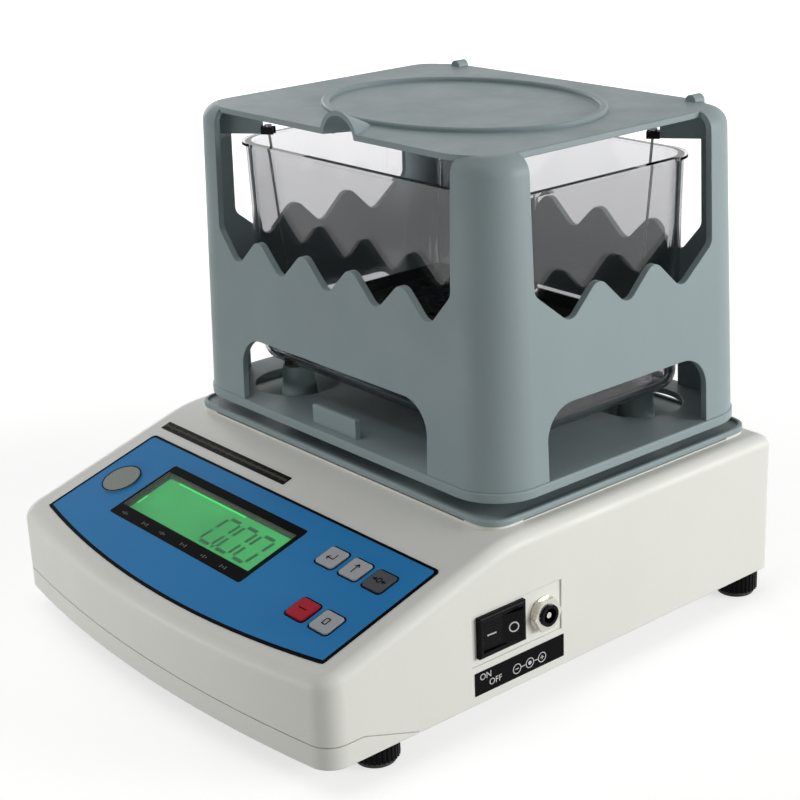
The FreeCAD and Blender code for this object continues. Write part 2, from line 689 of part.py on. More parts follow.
def panel_cuts():
    """The film's recess, the display's pocket and aperture, and the key holes."""
    window_under = FILM_PROUD - WINDOW_THICKNESS
    cuts = [
        film_block(FILM_GAP, -FILM_RECESS, OVERRUN),
        window_block(FILM_GAP, window_under, OVERRUN),
        rounded_block(
            APERTURE_LENGTH / 2, APERTURE_HEIGHT / 2, KEY_RADIUS, -OVERRUN / 4, OVERRUN,
            WINDOW_CENTRE_X, WINDOW_CENTRE_Y,
        ),
    ]
    for place in KEY_PLACES.values():
        cuts.append(key_block(place, KEY_GAP, -OVERRUN / 4, OVERRUN))
    return [on_panel(cut) for cut in cuts]


def kerb():
    """A low line round the tray that rises at the four corners."""
    half_x = TRAY_HALF_X - KERB_INSET
    half_y = TRAY_HALF_Y - KERB_INSET
    radius = TRAY_CORNER_RADIUS - KERB_INSET
    sink = HOUSING_TOP_Z - WALL / 2
    outer = rounded_block(half_x, half_y, radius, sink, TRAY_BOTTOM_Z, 0, CAGE_Y)
    inner = rounded_block(
        half_x - KERB_WIDTH, half_y - KERB_WIDTH, radius - KERB_WIDTH, sink, TRAY_BOTTOM_Z, 0, CAGE_Y
    )
    ring = outer.cut(inner)
    low_z = HOUSING_TOP_Z + LOW_KERB_HEIGHT
    between = [
        centred_box(0, CAGE_Y, 2 * (half_x - KERB_CORNER_LENGTH), 2 * HOUSING_HALF_DEPTH,
                    low_z, HOUSING_TOP_Z + OVERRUN),
        centred_box(0, CAGE_Y, 4 * half_x, 2 * (half_y - KERB_CORNER_LENGTH),
                    low_z, HOUSING_TOP_Z + OVERRUN),
    ]
    return cut_all(ring, between)


def front_strip_zone(gap):
    """The room of the strip round the front, whose ends slope down to the bottom edge."""
    front_y = -2 * HOUSING_HALF_DEPTH
    top_z = FRONT_STRIP_TOP_Z - gap
    end_z = HOUSING_BOTTOM_Z - gap
    low_z = HOUSING_BOTTOM_Z - OVERRUN
    outline = [(front_y, low_z), (front_y, top_z), (FRONT_STRIP_END_Y - FRONT_STRIP_SLOPE, top_z),
               (FRONT_STRIP_END_Y, end_z), (FRONT_STRIP_END_Y, low_z)]
    points = [V(-2 * HOUSING_HALF_WIDTH, y, z) for y, z in outline]
    return polygon_prism(points, V(4 * HOUSING_HALF_WIDTH, 0, 0))


def upper_housing():
    outer = housing_form(0.0, HOUSING_BOTTOM_Z)
    hollow = housing_form(WALL, HOUSING_BOTTOM_Z - OVERRUN / 2)
    shell = outer.cut(hollow)
    shell = shell.cut(front_strip_zone(0.0))
    room = housing_form(WALL / 2, HOUSING_BOTTOM_Z - OVERRUN)
    bosses, holes = panel_bosses()
    for x, y in HOUSING_SCREWS:
        bosses.append(cylinder(HOUSING_BOSS_RADIUS, x, y, INNER_FLOOR_Z, HOUSING_TOP_Z))
        holes.append(cylinder(HOUSING_SCREW_RADIUS + THREAD_FIT, x, y, INNER_FLOOR_Z,
                              INNER_FLOOR_Z + HOUSING_SCREW_LENGTH))
    tray_hole_low = HOUSING_TOP_Z - TRAY_BOSS_DEPTH
    for sx, sy in CORNERS:
        x = sx * TRAY_SCREW_X
        y = CAGE_Y + sy * TRAY_SCREW_Y
        bosses.append(cylinder(HOUSING_BOSS_RADIUS, x, y, tray_hole_low, HOUSING_TOP_Z))
        holes.append(cylinder(TRAY_SCREW_RADIUS + THREAD_FIT, x, y, tray_hole_low, TRAY_TOP_Z))
        post_x = sx * POST_X
        post_y = CAGE_Y + sy * POST_Y
        holes.append(cylinder(POST_PEG_RADIUS + CLEARANCE, post_x, post_y, tray_hole_low, TRAY_TOP_Z))
    kept = [boss.common(room) for boss in bosses]
    collar = ring_tube(COLUMN_HOLE_RADIUS + TRAY_COLLAR_WALL, COLUMN_HOLE_RADIUS, 0, CAGE_Y,
                       HOUSING_TOP_Z - WALL, TRAY_BOTTOM_Z)
    pads = []
    for sx, sy in CORNERS:
        x = sx * TRAY_SCREW_X
        y = CAGE_Y + sy * TRAY_SCREW_Y
        pads.append(cylinder(HOUSING_BOSS_RADIUS, x, y, HOUSING_TOP_Z - WALL, TRAY_BOTTOM_Z))
    body = fuse_all([shell] + kept + [collar, kerb()] + pads)
    column_hole = cylinder(COLUMN_HOLE_RADIUS, 0, CAGE_Y, HOUSING_TOP_Z - 2 * WALL, TRAY_TOP_Z)
    cuts = holes + [column_hole] + panel_cuts() + side_cuts()
    return cut_all(body, cuts)


def side_cuts():
    """The shallow recess, the switch's hole and the inlet's hole in the right wall."""
    far = HOUSING_HALF_WIDTH + OVERRUN
    recess = box(SIDE_FACE_X, far, RECESS_FRONT_Y, RECESS_BACK_Y, RECESS_LOW_Z, RECESS_TOP_Z)
    inner_x = HOUSING_HALF_WIDTH - 2 * WALL
    switch_hole = box(
        inner_x, far,
        SWITCH_Y - SWITCH_BODY_LENGTH / 2 - THREAD_FIT, SWITCH_Y + SWITCH_BODY_LENGTH / 2 + THREAD_FIT,
        SWITCH_Z - SWITCH_BODY_HEIGHT / 2 - THREAD_FIT, SWITCH_Z + SWITCH_BODY_HEIGHT / 2 + THREAD_FIT,
    )
    inlet_hole = side_cylinder(INLET_BARREL_RADIUS + INLET_HOLE_GAP, inner_x, far, INLET_Y, INLET_Z)
    return [recess, switch_hole, inlet_hole]


def lower_housing():
    """The base tray, with the strip of wall that shows at the front."""
    floor = plan_block(WALL + SHELL_GAP, HOUSING_BOTTOM_Z, INNER_FLOOR_Z)
    front_block = plan_block(0.0, HOUSING_BOTTOM_Z, FRONT_STRIP_TOP_Z)
    front_hollow = plan_block(WALL, INNER_FLOOR_Z, HOUSING_TOP_Z)
    strip = front_block.common(front_strip_zone(SHELL_GAP)).cut(front_hollow)
    pieces = [floor, strip]
    room = plan_block(WALL + SHELL_GAP, HOUSING_BOTTOM_Z, INSERT_TOP_Z)
    holes = []
    for x, y in FEET.values():
        boss = cylinder(INSERT_RADIUS + INSERT_BOSS_WALL, x, y, HOUSING_BOTTOM_Z, INSERT_TOP_Z)
        pieces.append(boss.common(room))
        holes.append(cylinder(INSERT_RADIUS, x, y, HOUSING_BOTTOM_Z - OVERRUN, INSERT_TOP_Z + OVERRUN))
    cell_bed_z = CELL_BOTTOM_Z - CELL_BASE_THICKNESS
    base_x = -CELL_LENGTH / 2 + CELL_BASE_LENGTH / 2
    pieces.append(centred_box(base_x, CAGE_Y, CELL_BASE_LENGTH, CELL_BASE_WIDTH,
                              HOUSING_BOTTOM_Z, cell_bed_z))
    for x in cell_hole_places(-1):
        holes.append(cylinder(CELL_SCREW_RADIUS + CLEARANCE, x, CAGE_Y, -OVERRUN, CELL_BOTTOM_Z))
        holes.append(cylinder(CELL_SCREW_HEAD_RADIUS + CLEARANCE, x, CAGE_Y, -OVERRUN,
                              HOUSING_BOTTOM_Z + CELL_SCREW_HEAD_HEIGHT + SEAT_GAP))
    stop_x = CELL_LENGTH / 2 - CELL_END_HOLE - CELL_HOLE_PITCH / 2
    pieces.append(cylinder(STOP_BOSS_RADIUS, stop_x, CAGE_Y, HOUSING_BOTTOM_Z, cell_bed_z))
    holes.append(cylinder(CELL_SCREW_RADIUS + THREAD_FIT, stop_x, CAGE_Y, -OVERRUN, CELL_BOTTOM_Z))
    for x, y in HOUSING_SCREWS:
        holes.append(cylinder(HOUSING_SCREW_RADIUS + CLEARANCE, x, y, -OVERRUN, INNER_FLOOR_Z))
        holes.append(cylinder(HOUSING_SCREW_HEAD + CLEARANCE, x, y, -OVERRUN,
                              HOUSING_BOTTOM_Z + HOUSING_SCREW_HEAD_HEIGHT))
    return cut_all(fuse_all(pieces), holes)


def housing_screws():
    seat_z = HOUSING_BOTTOM_Z + HOUSING_SCREW_HEAD_HEIGHT
    return Part.makeCompound([
        pan_head_screw(HOUSING_SCREW_RADIUS, HOUSING_SCREW_HEAD, HOUSING_SCREW_HEAD_HEIGHT,
                       HOUSING_SCREW_LENGTH, x, y, seat_z, -1)
        for x, y in HOUSING_SCREWS
    ])


# Levelling feet
def foot_pad(place):
    x, y = place
    pad = cylinder(FOOT_PAD_RADIUS, x, y, 0, FOOT_PAD_HEIGHT)
    pad = pad.makeFillet(FOOT_PAD_HEIGHT / 4, edges_at_z(pad, 0))
    peg = cylinder(FOOT_PEG_RADIUS, x, y, 0, FOOT_PAD_HEIGHT + FOOT_PEG_HEIGHT)
    return pad.fuse(peg).removeSplitter()


def foot_knob(place):
    """A knurled knob and its threaded stud in one piece."""
    x, y = place
    knob = cylinder(FOOT_KNOB_RADIUS, x, y, FOOT_PAD_HEIGHT, FOOT_KNOB_TOP_Z)
    grooves = []
    for index in range(KNURL_COUNT):
        angle = 2 * math.pi * index / KNURL_COUNT
        groove_x = x + FOOT_KNOB_RADIUS * math.cos(angle)
        groove_y = y + FOOT_KNOB_RADIUS * math.sin(angle)
        grooves.append(cylinder(KNURL_DEPTH, groove_x, groove_y, 0, FOOT_KNOB_TOP_Z + OVERRUN))
    knob = knob.cut(grooves)
    stud = cylinder(FOOT_STUD_RADIUS, x, y, FOOT_PAD_HEIGHT, FOOT_STUD_TOP_Z)
    peg_hole = cylinder(FOOT_PEG_RADIUS + FOOT_PEG_FIT, x, y, 0,
                        FOOT_PAD_HEIGHT + FOOT_PEG_HEIGHT + SEAT_GAP)
    return knob.fuse(stud).cut(peg_hole).removeSplitter()


def foot_inserts():
    return Part.makeCompound([
        ring_tube(INSERT_RADIUS, FOOT_STUD_RADIUS + THREAD_FIT, x, y, HOUSING_BOTTOM_Z, INSERT_TOP_Z)
        for x, y in FEET.values()
    ])


# Load cell
def cell_hole_places(side):
    outer = side * (CELL_LENGTH / 2 - CELL_END_HOLE)
    return (outer, outer - side * CELL_HOLE_PITCH)


def load_cell():
    """A bar with the two joined holes that make a bending beam of it."""
    half = CELL_LENGTH / 2
    bar = box(-half, half, CAGE_Y - CELL_SIDE / 2, CAGE_Y + CELL_SIDE / 2, CELL_BOTTOM_Z, CELL_TOP_Z)
    middle_z = CELL_BOTTOM_Z + CELL_SIDE / 2
    cuts = []
    for side in SIDES:
        start = V(side * CELL_HOLE_OFFSET, CAGE_Y - CELL_SIDE, middle_z)
        cuts.append(Part.makeCylinder(CELL_HOLE_RADIUS, 2 * CELL_SIDE, start, V(0, 1, 0)))
        for x in cell_hole_places(side):
            low, high = (0, CELL_SCREW_BITE) if side < 0 else (CELL_SIDE - CELL_SCREW_BITE, CELL_SIDE)
            cuts.append(cylinder(CELL_SCREW_RADIUS + THREAD_FIT, x, CAGE_Y,
                                 CELL_BOTTOM_Z + low, CELL_BOTTOM_Z + high))
    cuts.append(box(-CELL_HOLE_OFFSET, CELL_HOLE_OFFSET, CAGE_Y - CELL_SIDE, CAGE_Y + CELL_SIDE,
                    middle_z - CELL_SLOT / 2, middle_z + CELL_SLOT / 2))
    return cut_all(bar, cuts)


def load_cell_base():
    base_x = -CELL_LENGTH / 2 + CELL_BASE_LENGTH / 2
    block = centred_box(base_x, CAGE_Y, CELL_BASE_LENGTH, CELL_BASE_WIDTH,
                        CELL_BOTTOM_Z - CELL_BASE_THICKNESS, CELL_BOTTOM_Z)
    holes = [
        cylinder(CELL_SCREW_RADIUS + CLEARANCE, x, CAGE_Y, -OVERRUN, CELL_TOP_Z)
        for x in cell_hole_places(-1)
    ]
    return cut_all(block, holes)


def load_cell_base_screws():
    seat_z = HOUSING_BOTTOM_Z + CELL_SCREW_HEAD_HEIGHT + SEAT_GAP
    length = CELL_BOTTOM_Z + CELL_SCREW_BITE - SEAT_GAP - seat_z
    return Part.makeCompound([
        pan_head_screw(CELL_SCREW_RADIUS, CELL_SCREW_HEAD_RADIUS, CELL_SCREW_HEAD_HEIGHT,
                       length, x, CAGE_Y, seat_z, -1)
        for x in cell_hole_places(-1)
    ])


def load_cell_top_screws():
    seat_z = CELL_TOP_Z + CARRIER_PAD_THICKNESS
    length = CARRIER_PAD_THICKNESS + CELL_SCREW_BITE - SEAT_GAP
    return Part.makeCompound([
        pan_head_screw(CELL_SCREW_RADIUS, CELL_SCREW_HEAD_RADIUS, CELL_SCREW_HEAD_HEIGHT,
                       length, x, CAGE_Y, seat_z, 1)
        for x in cell_hole_places(1)
    ])


def overload_stop_screw():
    stop_x = CELL_LENGTH / 2 - CELL_END_HOLE - CELL_HOLE_PITCH / 2
    return cylinder(CELL_SCREW_RADIUS, stop_x, CAGE_Y, HOUSING_BOTTOM_Z, CELL_BOTTOM_Z - STOP_GAP)


def pan_carrier():
    """The bracket on the cell's free end, its column, and the cross under the plate."""
    pad_z = (CELL_TOP_Z, CELL_TOP_Z + CARRIER_PAD_THICKNESS)
    arm_z = (PLATE_UNDER_Z - CARRIER_ARM_THICKNESS, PLATE_UNDER_Z)
    pad_end = CELL_LENGTH / 2
    pad_start = pad_end - 2 * CELL_END_HOLE - CELL_HOLE_PITCH
    half = CELL_SIDE / 2
    pieces = [
        box(pad_start, pad_end, CAGE_Y - half, CAGE_Y + half, *pad_z),
        box(-CARRIER_COLUMN_RADIUS, pad_start + CARRIER_LAP, CAGE_Y - half, CAGE_Y + half,
            pad_z[0] + CARRIER_GAP, pad_z[1] + CARRIER_LINK_THICKNESS),
        cylinder(CARRIER_COLUMN_RADIUS, 0, CAGE_Y, pad_z[0] + CARRIER_GAP, arm_z[1]),
        centred_box(0, CAGE_Y, 2 * CARRIER_X_REACH, CARRIER_ARM_WIDTH, *arm_z),
        centred_box(0, CAGE_Y, CARRIER_ARM_WIDTH, 2 * CARRIER_Y_REACH, *arm_z),
    ]
    holes = [
        cylinder(CELL_SCREW_RADIUS + CLEARANCE, x, CAGE_Y, pad_z[0], pad_z[1])
        for x in cell_hole_places(1)
    ]
    for x, y in pan_screw_places():
        holes.append(cylinder(PAN_SCREW_RADIUS + CLEARANCE, x, y, *arm_z))
        holes.append(cylinder(PAN_SCREW_HEAD + CLEARANCE, x, y, arm_z[0],
                              arm_z[0] + PAN_SCREW_HEAD_HEIGHT))
    return cut_all(fuse_all(pieces), holes)


def pan_screw_places():
    reach_x = CARRIER_X_REACH - PAN_SCREW_INSET
    reach_y = CARRIER_Y_REACH - PAN_SCREW_INSET
    return [(s * reach_x, CAGE_Y) for s in SIDES] + [(0, CAGE_Y + s * reach_y) for s in SIDES]


def platform_screws():
    """Screws through the carrier's arms, up into the weighing plate."""
    seat_z = PLATE_UNDER_Z - CARRIER_ARM_THICKNESS + PAN_SCREW_HEAD_HEIGHT
    length = PLATE_UNDER_Z - seat_z + PAN_SCREW_BITE
    return Part.makeCompound([
        pan_head_screw(PAN_SCREW_RADIUS, PAN_SCREW_HEAD, PAN_SCREW_HEAD_HEIGHT, length, x, y, seat_z, -1)
        for x, y in pan_screw_places()
    ])


# Tray, posts and tank
def tank_tray():
    plate = rounded_block(TRAY_HALF_X, TRAY_HALF_Y, TRAY_CORNER_RADIUS, TRAY_BOTTOM_Z, TRAY_TOP_Z,
                          0, CAGE_Y)
    plate = plate.makeFillet(PLATE_EDGE_RADIUS, edges_at_z(plate, TRAY_TOP_Z))
    pocket = rounded_block(TRAY_HALF_X - TRAY_RIM_WIDTH, TRAY_HALF_Y - TRAY_RIM_WIDTH,
                           TRAY_CORNER_RADIUS - TRAY_RIM_WIDTH, TRAY_FLOOR_Z, PLATE_TOP_Z, 0, CAGE_Y)
    collar = cylinder(COLUMN_HOLE_RADIUS + TRAY_COLLAR_WALL, 0, CAGE_Y, TRAY_BOTTOM_Z,
                      TRAY_TOP_Z + TRAY_COLLAR_HEIGHT)
    holes = [cylinder(COLUMN_HOLE_RADIUS, 0, CAGE_Y, 0, PLATE_TOP_Z)]
    for sx, sy in CORNERS:
        holes.append(cylinder(TRAY_SCREW_RADIUS + CLEARANCE, sx * TRAY_SCREW_X,
                              CAGE_Y + sy * TRAY_SCREW_Y, 0, PLATE_TOP_Z))
        holes.append(cylinder(POST_PEG_RADIUS + POST_PEG_FIT, sx * POST_X, CAGE_Y + sy * POST_Y,
                              0, PLATE_TOP_Z))
    return cut_all(plate.cut(pocket).fuse(collar), holes)


def tray_screws():
    length = TRAY_THICKNESS + TRAY_BOSS_DEPTH / 2
    return Part.makeCompound([
        pan_head_screw(TRAY_SCREW_RADIUS, TRAY_SCREW_HEAD, TRAY_SCREW_HEAD_HEIGHT, length,
                       sx * TRAY_SCREW_X, CAGE_Y + sy * TRAY_SCREW_Y, TRAY_FLOOR_Z, 1)
        for sx, sy in CORNERS
    ])


def tank_posts():
    posts = []
    for sx, sy in CORNERS:
        x = sx * POST_X
        y = CAGE_Y + sy * POST_Y
        cone = Part.makeCone(POST_FOOT_RADIUS, POST_TOP_RADIUS, POST_TOP_Z - TRAY_FLOOR_Z,
                             V(x, y, TRAY_FLOOR_Z))
        peg = cylinder(POST_PEG_RADIUS, x, y, TRAY_BOTTOM_Z, POST_TOP_Z)
        posts.append(cone.fuse(peg).removeSplitter())
    return Part.makeCompound(posts)


def post_pads():
    return Part.makeCompound([
        cylinder(POST_TOP_RADIUS - PLATE_EDGE_RADIUS, sx * POST_X, CAGE_Y + sy * POST_Y,
                 POST_TOP_Z, TANK_BOTTOM_Z)
        for sx, sy in CORNERS
    ])


def water_tank():
    """A clear tapered tank with a small lip."""
    low_x = TANK_RIM_HALF_X - TANK_LIP - TANK_TAPER
    low_y = TANK_RIM_HALF_Y - TANK_LIP - TANK_TAPER
    outer = tapered_block(low_x, low_y, TANK_CORNER_RADIUS, TANK_BOTTOM_Z, TANK_RIM_Z, -TANK_TAPER,
                          0, CAGE_Y)
    outer = outer.makeFillet(TANK_BOTTOM_RADIUS, edges_at_z(outer, TANK_BOTTOM_Z))
    lip = rounded_block(TANK_RIM_HALF_X, TANK_RIM_HALF_Y, TANK_CORNER_RADIUS,
                        TANK_RIM_Z - TANK_LIP_HEIGHT, TANK_RIM_Z, 0, CAGE_Y)
    inner = tapered_block(low_x - TANK_WALL, low_y - TANK_WALL, TANK_CORNER_RADIUS - TANK_WALL,
                          TANK_BOTTOM_Z + TANK_WALL, TANK_RIM_Z, -TANK_TAPER, 0, CAGE_Y)
    inner = inner.makeFillet(TANK_BOTTOM_RADIUS - TANK_WALL,
                             edges_at_z(inner, TANK_BOTTOM_Z + TANK_WALL))
    return outer.fuse(lip).cut(inner)


# Weighing plate and frame
def weighing_plate():
    band_z = PLATE_TOP_Z - PLATE_BAND
    block = rounded_block(PLATE_HALF_X, PLATE_HALF_Y, PLATE_CORNER_RADIUS, band_z, PLATE_TOP_Z,
                          0, CAGE_Y)
    block = block.makeFillet(PLATE_EDGE_RADIUS, edges_at_z(block, PLATE_TOP_Z))
    hollow = rounded_block(PLATE_HALF_X - PLATE_RIM_WIDTH, PLATE_HALF_Y - PLATE_RIM_WIDTH,
                           PLATE_CORNER_RADIUS - PLATE_RIM_WIDTH, band_z, PLATE_UNDER_Z, 0, CAGE_Y)
    tab_y = CAGE_Y + TAB_FACE_Y
    tab = box(TAB_X - TAB_WIDTH / 2, TAB_X + TAB_WIDTH / 2, tab_y, tab_y + TAB_THICKNESS,
              PLATE_UNDER_Z, PLATE_TOP_Z + TAB_HEIGHT)
    tab = tab.makeFillet(PLATE_EDGE_RADIUS, edges_at_z(tab, PLATE_TOP_Z + TAB_HEIGHT))
    holes = []
    for sx, sy in CORNERS:
        holes.append(cylinder(POST_HOLE_RADIUS, sx * POST_X, CAGE_Y + sy * POST_Y, 0, FRAME_TOP_Z))
    for x, y in pan_screw_places():
        holes.append(cylinder(PAN_SCREW_RADIUS + THREAD_FIT, x, y, 0, PLATE_UNDER_Z + PAN_SCREW_BITE))
    return cut_all(fuse_all([block.cut(hollow), tab]), holes)


def zigzag_points(half, peaks, pitch_share):
    """Outline of one window from its left end to its right, as (along, z)."""
    points = [(-half, FRAME_TOP_Z + OVERRUN), (-half, WINDOW_END_Z)]
    for index in range(2 * peaks + 1):
        along = (index - peaks) * pitch_share * half / 2
        points.append((along, PEAK_Z if index % 2 else VALLEY_Z))
    points += [(half, WINDOW_END_Z), (half, FRAME_TOP_Z + OVERRUN)]
    return points


def window_cutters():
    """The zigzag windows: a pair through the front and back, a pair through the sides."""
    cutters = []
    below_top = lambda edge: edge.BoundBox.ZMax < FRAME_TOP_Z
    inner_x = FRAME_HALF_X - FRAME_TAPER - 2 * FRAME_WALL
    inner_y = FRAME_HALF_Y - FRAME_TAPER - 2 * FRAME_WALL
    for side in SIDES:
        outline = zigzag_points(FRONT_WINDOW_HALF, FRONT_PEAKS, FRONT_PITCH_SHARE)
        points = [V(x, CAGE_Y + side * inner_y, z) for x, z in outline]
        cutter = polygon_prism(points, V(0, side * OVERRUN, 0))
        cutters.append(cutter.makeFillet(ZIGZAG_RADIUS, edges_along(cutter, V(0, 1, 0), below_top)))
        outline = zigzag_points(SIDE_WINDOW_HALF, SIDE_PEAKS, SIDE_PITCH_SHARE)
        points = [V(side * inner_x, CAGE_Y + y, z) for y, z in outline]
        cutter = polygon_prism(points, V(side * OVERRUN, 0, 0))
        cutters.append(cutter.makeFillet(ZIGZAG_RADIUS, edges_along(cutter, V(1, 0, 0), below_top)))
    return cutters


def arch_cutters():
    """The flat arches between the frame's legs."""
    above_plate = lambda edge: edge.BoundBox.ZMax > PLATE_TOP_Z + ARCH_CORNER_RADIUS
    front = centred_box(0, CAGE_Y, 2 * FRONT_ARCH_HALF, 4 * FRAME_HALF_Y, 0, ARCH_TOP_Z)
    front = front.makeFillet(ARCH_CORNER_RADIUS, edges_along(front, V(0, 1, 0), above_plate))
    side = centred_box(0, CAGE_Y, 4 * FRAME_HALF_X, 2 * SIDE_ARCH_HALF, 0, ARCH_TOP_Z)
    side = side.makeFillet(ARCH_CORNER_RADIUS, edges_along(side, V(1, 0, 0), above_plate))
    return [front, side]


def frame_block(inset, top_z, dome):
    half_x = FRAME_HALF_X - inset
    half_y = FRAME_HALF_Y - inset
    radius = FRAME_CORNER_RADIUS - inset
    share = (top_z - PLATE_TOP_Z) / FRAME_HEIGHT
    block = tapered_block(half_x, half_y, radius, PLATE_TOP_Z, top_z, FRAME_TAPER * share, 0, CAGE_Y)
    return block.makeFillet(dome, edges_at_z(block, top_z))


def top_ring():
    """The oval bead on top that keeps a sample in place."""
    def oval(half_x, half_y):
        centre = V(RING_X, CAGE_Y, FRAME_CEILING_Z)
        wire = Part.Wire([Part.Ellipse(centre, half_x, half_y).toShape()])
        return Part.Face(wire).extrude(V(0, 0, FRAME_TOP_THICKNESS + RING_HEIGHT))
    ring = oval(RING_HALF_X, RING_HALF_Y).cut(oval(RING_HALF_X - RING_WIDTH, RING_HALF_Y - RING_WIDTH))
    return ring.makeFillet(RING_EDGE_RADIUS, edges_at_z(ring, FRAME_TOP_Z + RING_HEIGHT))


def spout_cone(inset):
    """A cone lying along the top plate, from its front edge back to the ring."""
    before = OVERRUN if inset else 0
    narrowing = (SPOUT_RADIUS - SPOUT_END_RADIUS) / SPOUT_LENGTH
    start_radius = SPOUT_RADIUS - inset + before * narrowing
    length = before + SPOUT_LENGTH - inset
    start = V(SPOUT_X, CAGE_Y - TOP_HALF_Y - before, FRAME_TOP_Z - SPOUT_SINK)
    return Part.makeCone(start_radius, start_radius - length * narrowing, length, start, V(0, 1, 0))


def weighing_frame():
    """The one-piece moulding that stands on the weighing plate."""
    outer = frame_block(0.0, FRAME_TOP_Z, FRAME_DOME_RADIUS)
    inner = frame_block(FRAME_WALL, FRAME_CEILING_Z, FRAME_DOME_RADIUS - FRAME_WALL)
    shell = outer.cut(inner)
    shell = cut_all(shell, window_cutters() + arch_cutters())
    rib_room = frame_block(FRAME_WALL / 2, FRAME_TOP_Z, FRAME_DOME_RADIUS - FRAME_WALL / 2)
    ribs = []
    for sx, sy in CORNERS:
        rib = box(RIB_INNER, RIB_OUTER, -RIB_THICKNESS / 2, RIB_THICKNESS / 2,
                  RIB_BOTTOM_Z, FRAME_CEILING_Z + FRAME_TOP_THICKNESS / 2)
        rib.rotate(V(0, 0, 0), UP, RIB_ANGLE if sx * sy > 0 else -RIB_ANGLE)
        if sx < 0:
            rib.rotate(V(0, 0, 0), UP, 180)
        rib.translate(V(0, CAGE_Y, 0))
        ribs.append(rib.common(rib_room))
    top_plate = rounded_block(TOP_HALF_X, TOP_HALF_Y, FRAME_CORNER_RADIUS, FRAME_CEILING_Z, FRAME_TOP_Z,
                              0, CAGE_Y)
    zone = box(SPOUT_X - 2 * SPOUT_RADIUS, SPOUT_X + 2 * SPOUT_RADIUS,
               CAGE_Y - TOP_HALF_Y, CAGE_Y, FRAME_CEILING_Z, FRAME_TOP_Z + OVERRUN)
    spout = spout_cone(0).common(zone)
    lugs = []
    for side in SIDES:
        start = V(REAR_LUG_MIDDLE_X + side * REAR_LUG_X, CAGE_Y + TOP_HALF_Y - REAR_LUG_LENGTH,
                  FRAME_TOP_Z)
        lug = Part.makeCylinder(REAR_LUG_RADIUS, REAR_LUG_LENGTH, start, V(0, 1, 0))
        room = box(-2 * REAR_LUG_X, 2 * REAR_LUG_X, CAGE_Y, CAGE_Y + TOP_HALF_Y,
                   FRAME_TOP_Z - FRAME_TOP_THICKNESS / 2, FRAME_TOP_Z + OVERRUN)
        lugs.append(lug.common(room))
    body = fuse_all([shell, top_plate] + ribs + [spout]).cut(spout_cone(SPOUT_WALL))
    return fuse_all([body, top_ring()] + lugs)


# Hooks, wires and basket
def hook_axis(sx, sy, distance):
    """A point on a rib's line, at a distance from the middle of the frame."""
    angle = math.radians(RIB_ANGLE)
    return V(sx * distance * math.cos(angle), CAGE_Y + sy * distance * math.sin(angle), 0)


def hanger_hooks():
    hooks = []
    for sx, sy in CORNERS:
        block = box(RIB_INNER - HOOK_LENGTH, RIB_INNER, -HOOK_WIDTH / 2, HOOK_WIDTH / 2,
                    HOOK_BOTTOM_Z, HOOK_TOP_Z)
        slot = box(RIB_INNER - 2 * HOOK_LENGTH, RIB_INNER - HOOK_LENGTH / 2 + HOOK_SLOT / 2,
                   -HOOK_SLOT / 2, HOOK_SLOT / 2, 0, FRAME_TOP_Z)
        block = block.cut(slot)
        block.rotate(V(0, 0, 0), UP, RIB_ANGLE if sx * sy > 0 else -RIB_ANGLE)
        if sx < 0:
            block.rotate(V(0, 0, 0), UP, 180)
        block.translate(V(0, CAGE_Y, 0))
        hooks.append(block)
    return Part.makeCompound(hooks)


def basket_wires():
    wires = []
    for sx, sy in CORNERS:
        top = hook_axis(sx, sy, RIB_INNER - HOOK_LENGTH / 2) + UP * (HOOK_TOP_Z + WIRE_COLLAR_HEIGHT)
        foot_x = sx * (BASKET_HALF_X - BASKET_LUG / 2)
        foot_y = CAGE_Y + sy * (BASKET_HALF_Y - BASKET_LUG / 2)
        foot = V(foot_x, foot_y, BASKET_BOTTOM_Z + BASKET_HEIGHT)
        way = top - foot
        rod = Part.makeCylinder(WIRE_RADIUS, way.Length, foot, way)
        collar = cylinder(WIRE_COLLAR_RADIUS, top.x, top.y, HOOK_TOP_Z, HOOK_TOP_Z + WIRE_COLLAR_HEIGHT)
        wires.append(rod.fuse(collar).removeSplitter())
    return Part.makeCompound(wires)


def immersion_basket():
    """A shallow basket with a perforated floor and a lug in each corner."""
    top_z = BASKET_BOTTOM_Z + BASKET_HEIGHT
    outer = rounded_block(BASKET_HALF_X, BASKET_HALF_Y, BASKET_RADIUS, BASKET_BOTTOM_Z, top_z, 0, CAGE_Y)
    inner = rounded_block(BASKET_HALF_X - BASKET_WALL, BASKET_HALF_Y - BASKET_WALL,
                          BASKET_RADIUS - BASKET_WALL, BASKET_BOTTOM_Z + BASKET_WALL, top_z, 0, CAGE_Y)
    shell = outer.cut(inner)
    lugs = []
    for sx, sy in CORNERS:
        x = sx * (BASKET_HALF_X - BASKET_LUG / 2)
        y = CAGE_Y + sy * (BASKET_HALF_Y - BASKET_LUG / 2)
        lugs.append(centred_box(x, y, BASKET_LUG, BASKET_LUG, BASKET_BOTTOM_Z, top_z).common(outer))
    body = fuse_all([shell] + lugs)
    reach_x = BASKET_HALF_X - BASKET_LUG - BASKET_HOLE_PITCH / 2
    reach_y = BASKET_HALF_Y - BASKET_LUG - BASKET_HOLE_PITCH / 2
    count_x = int(reach_x // BASKET_HOLE_PITCH)
    count_y = int(reach_y // BASKET_HOLE_PITCH)
    holes = [
        cylinder(BASKET_HOLE_RADIUS, i * BASKET_HOLE_PITCH, CAGE_Y + j * BASKET_HOLE_PITCH,
                 BASKET_BOTTOM_Z - OVERRUN, top_z)
        for i in range(-count_x, count_x + 1)
        for j in range(-count_y, count_y + 1)
    ]
    return cut_all(body, holes)


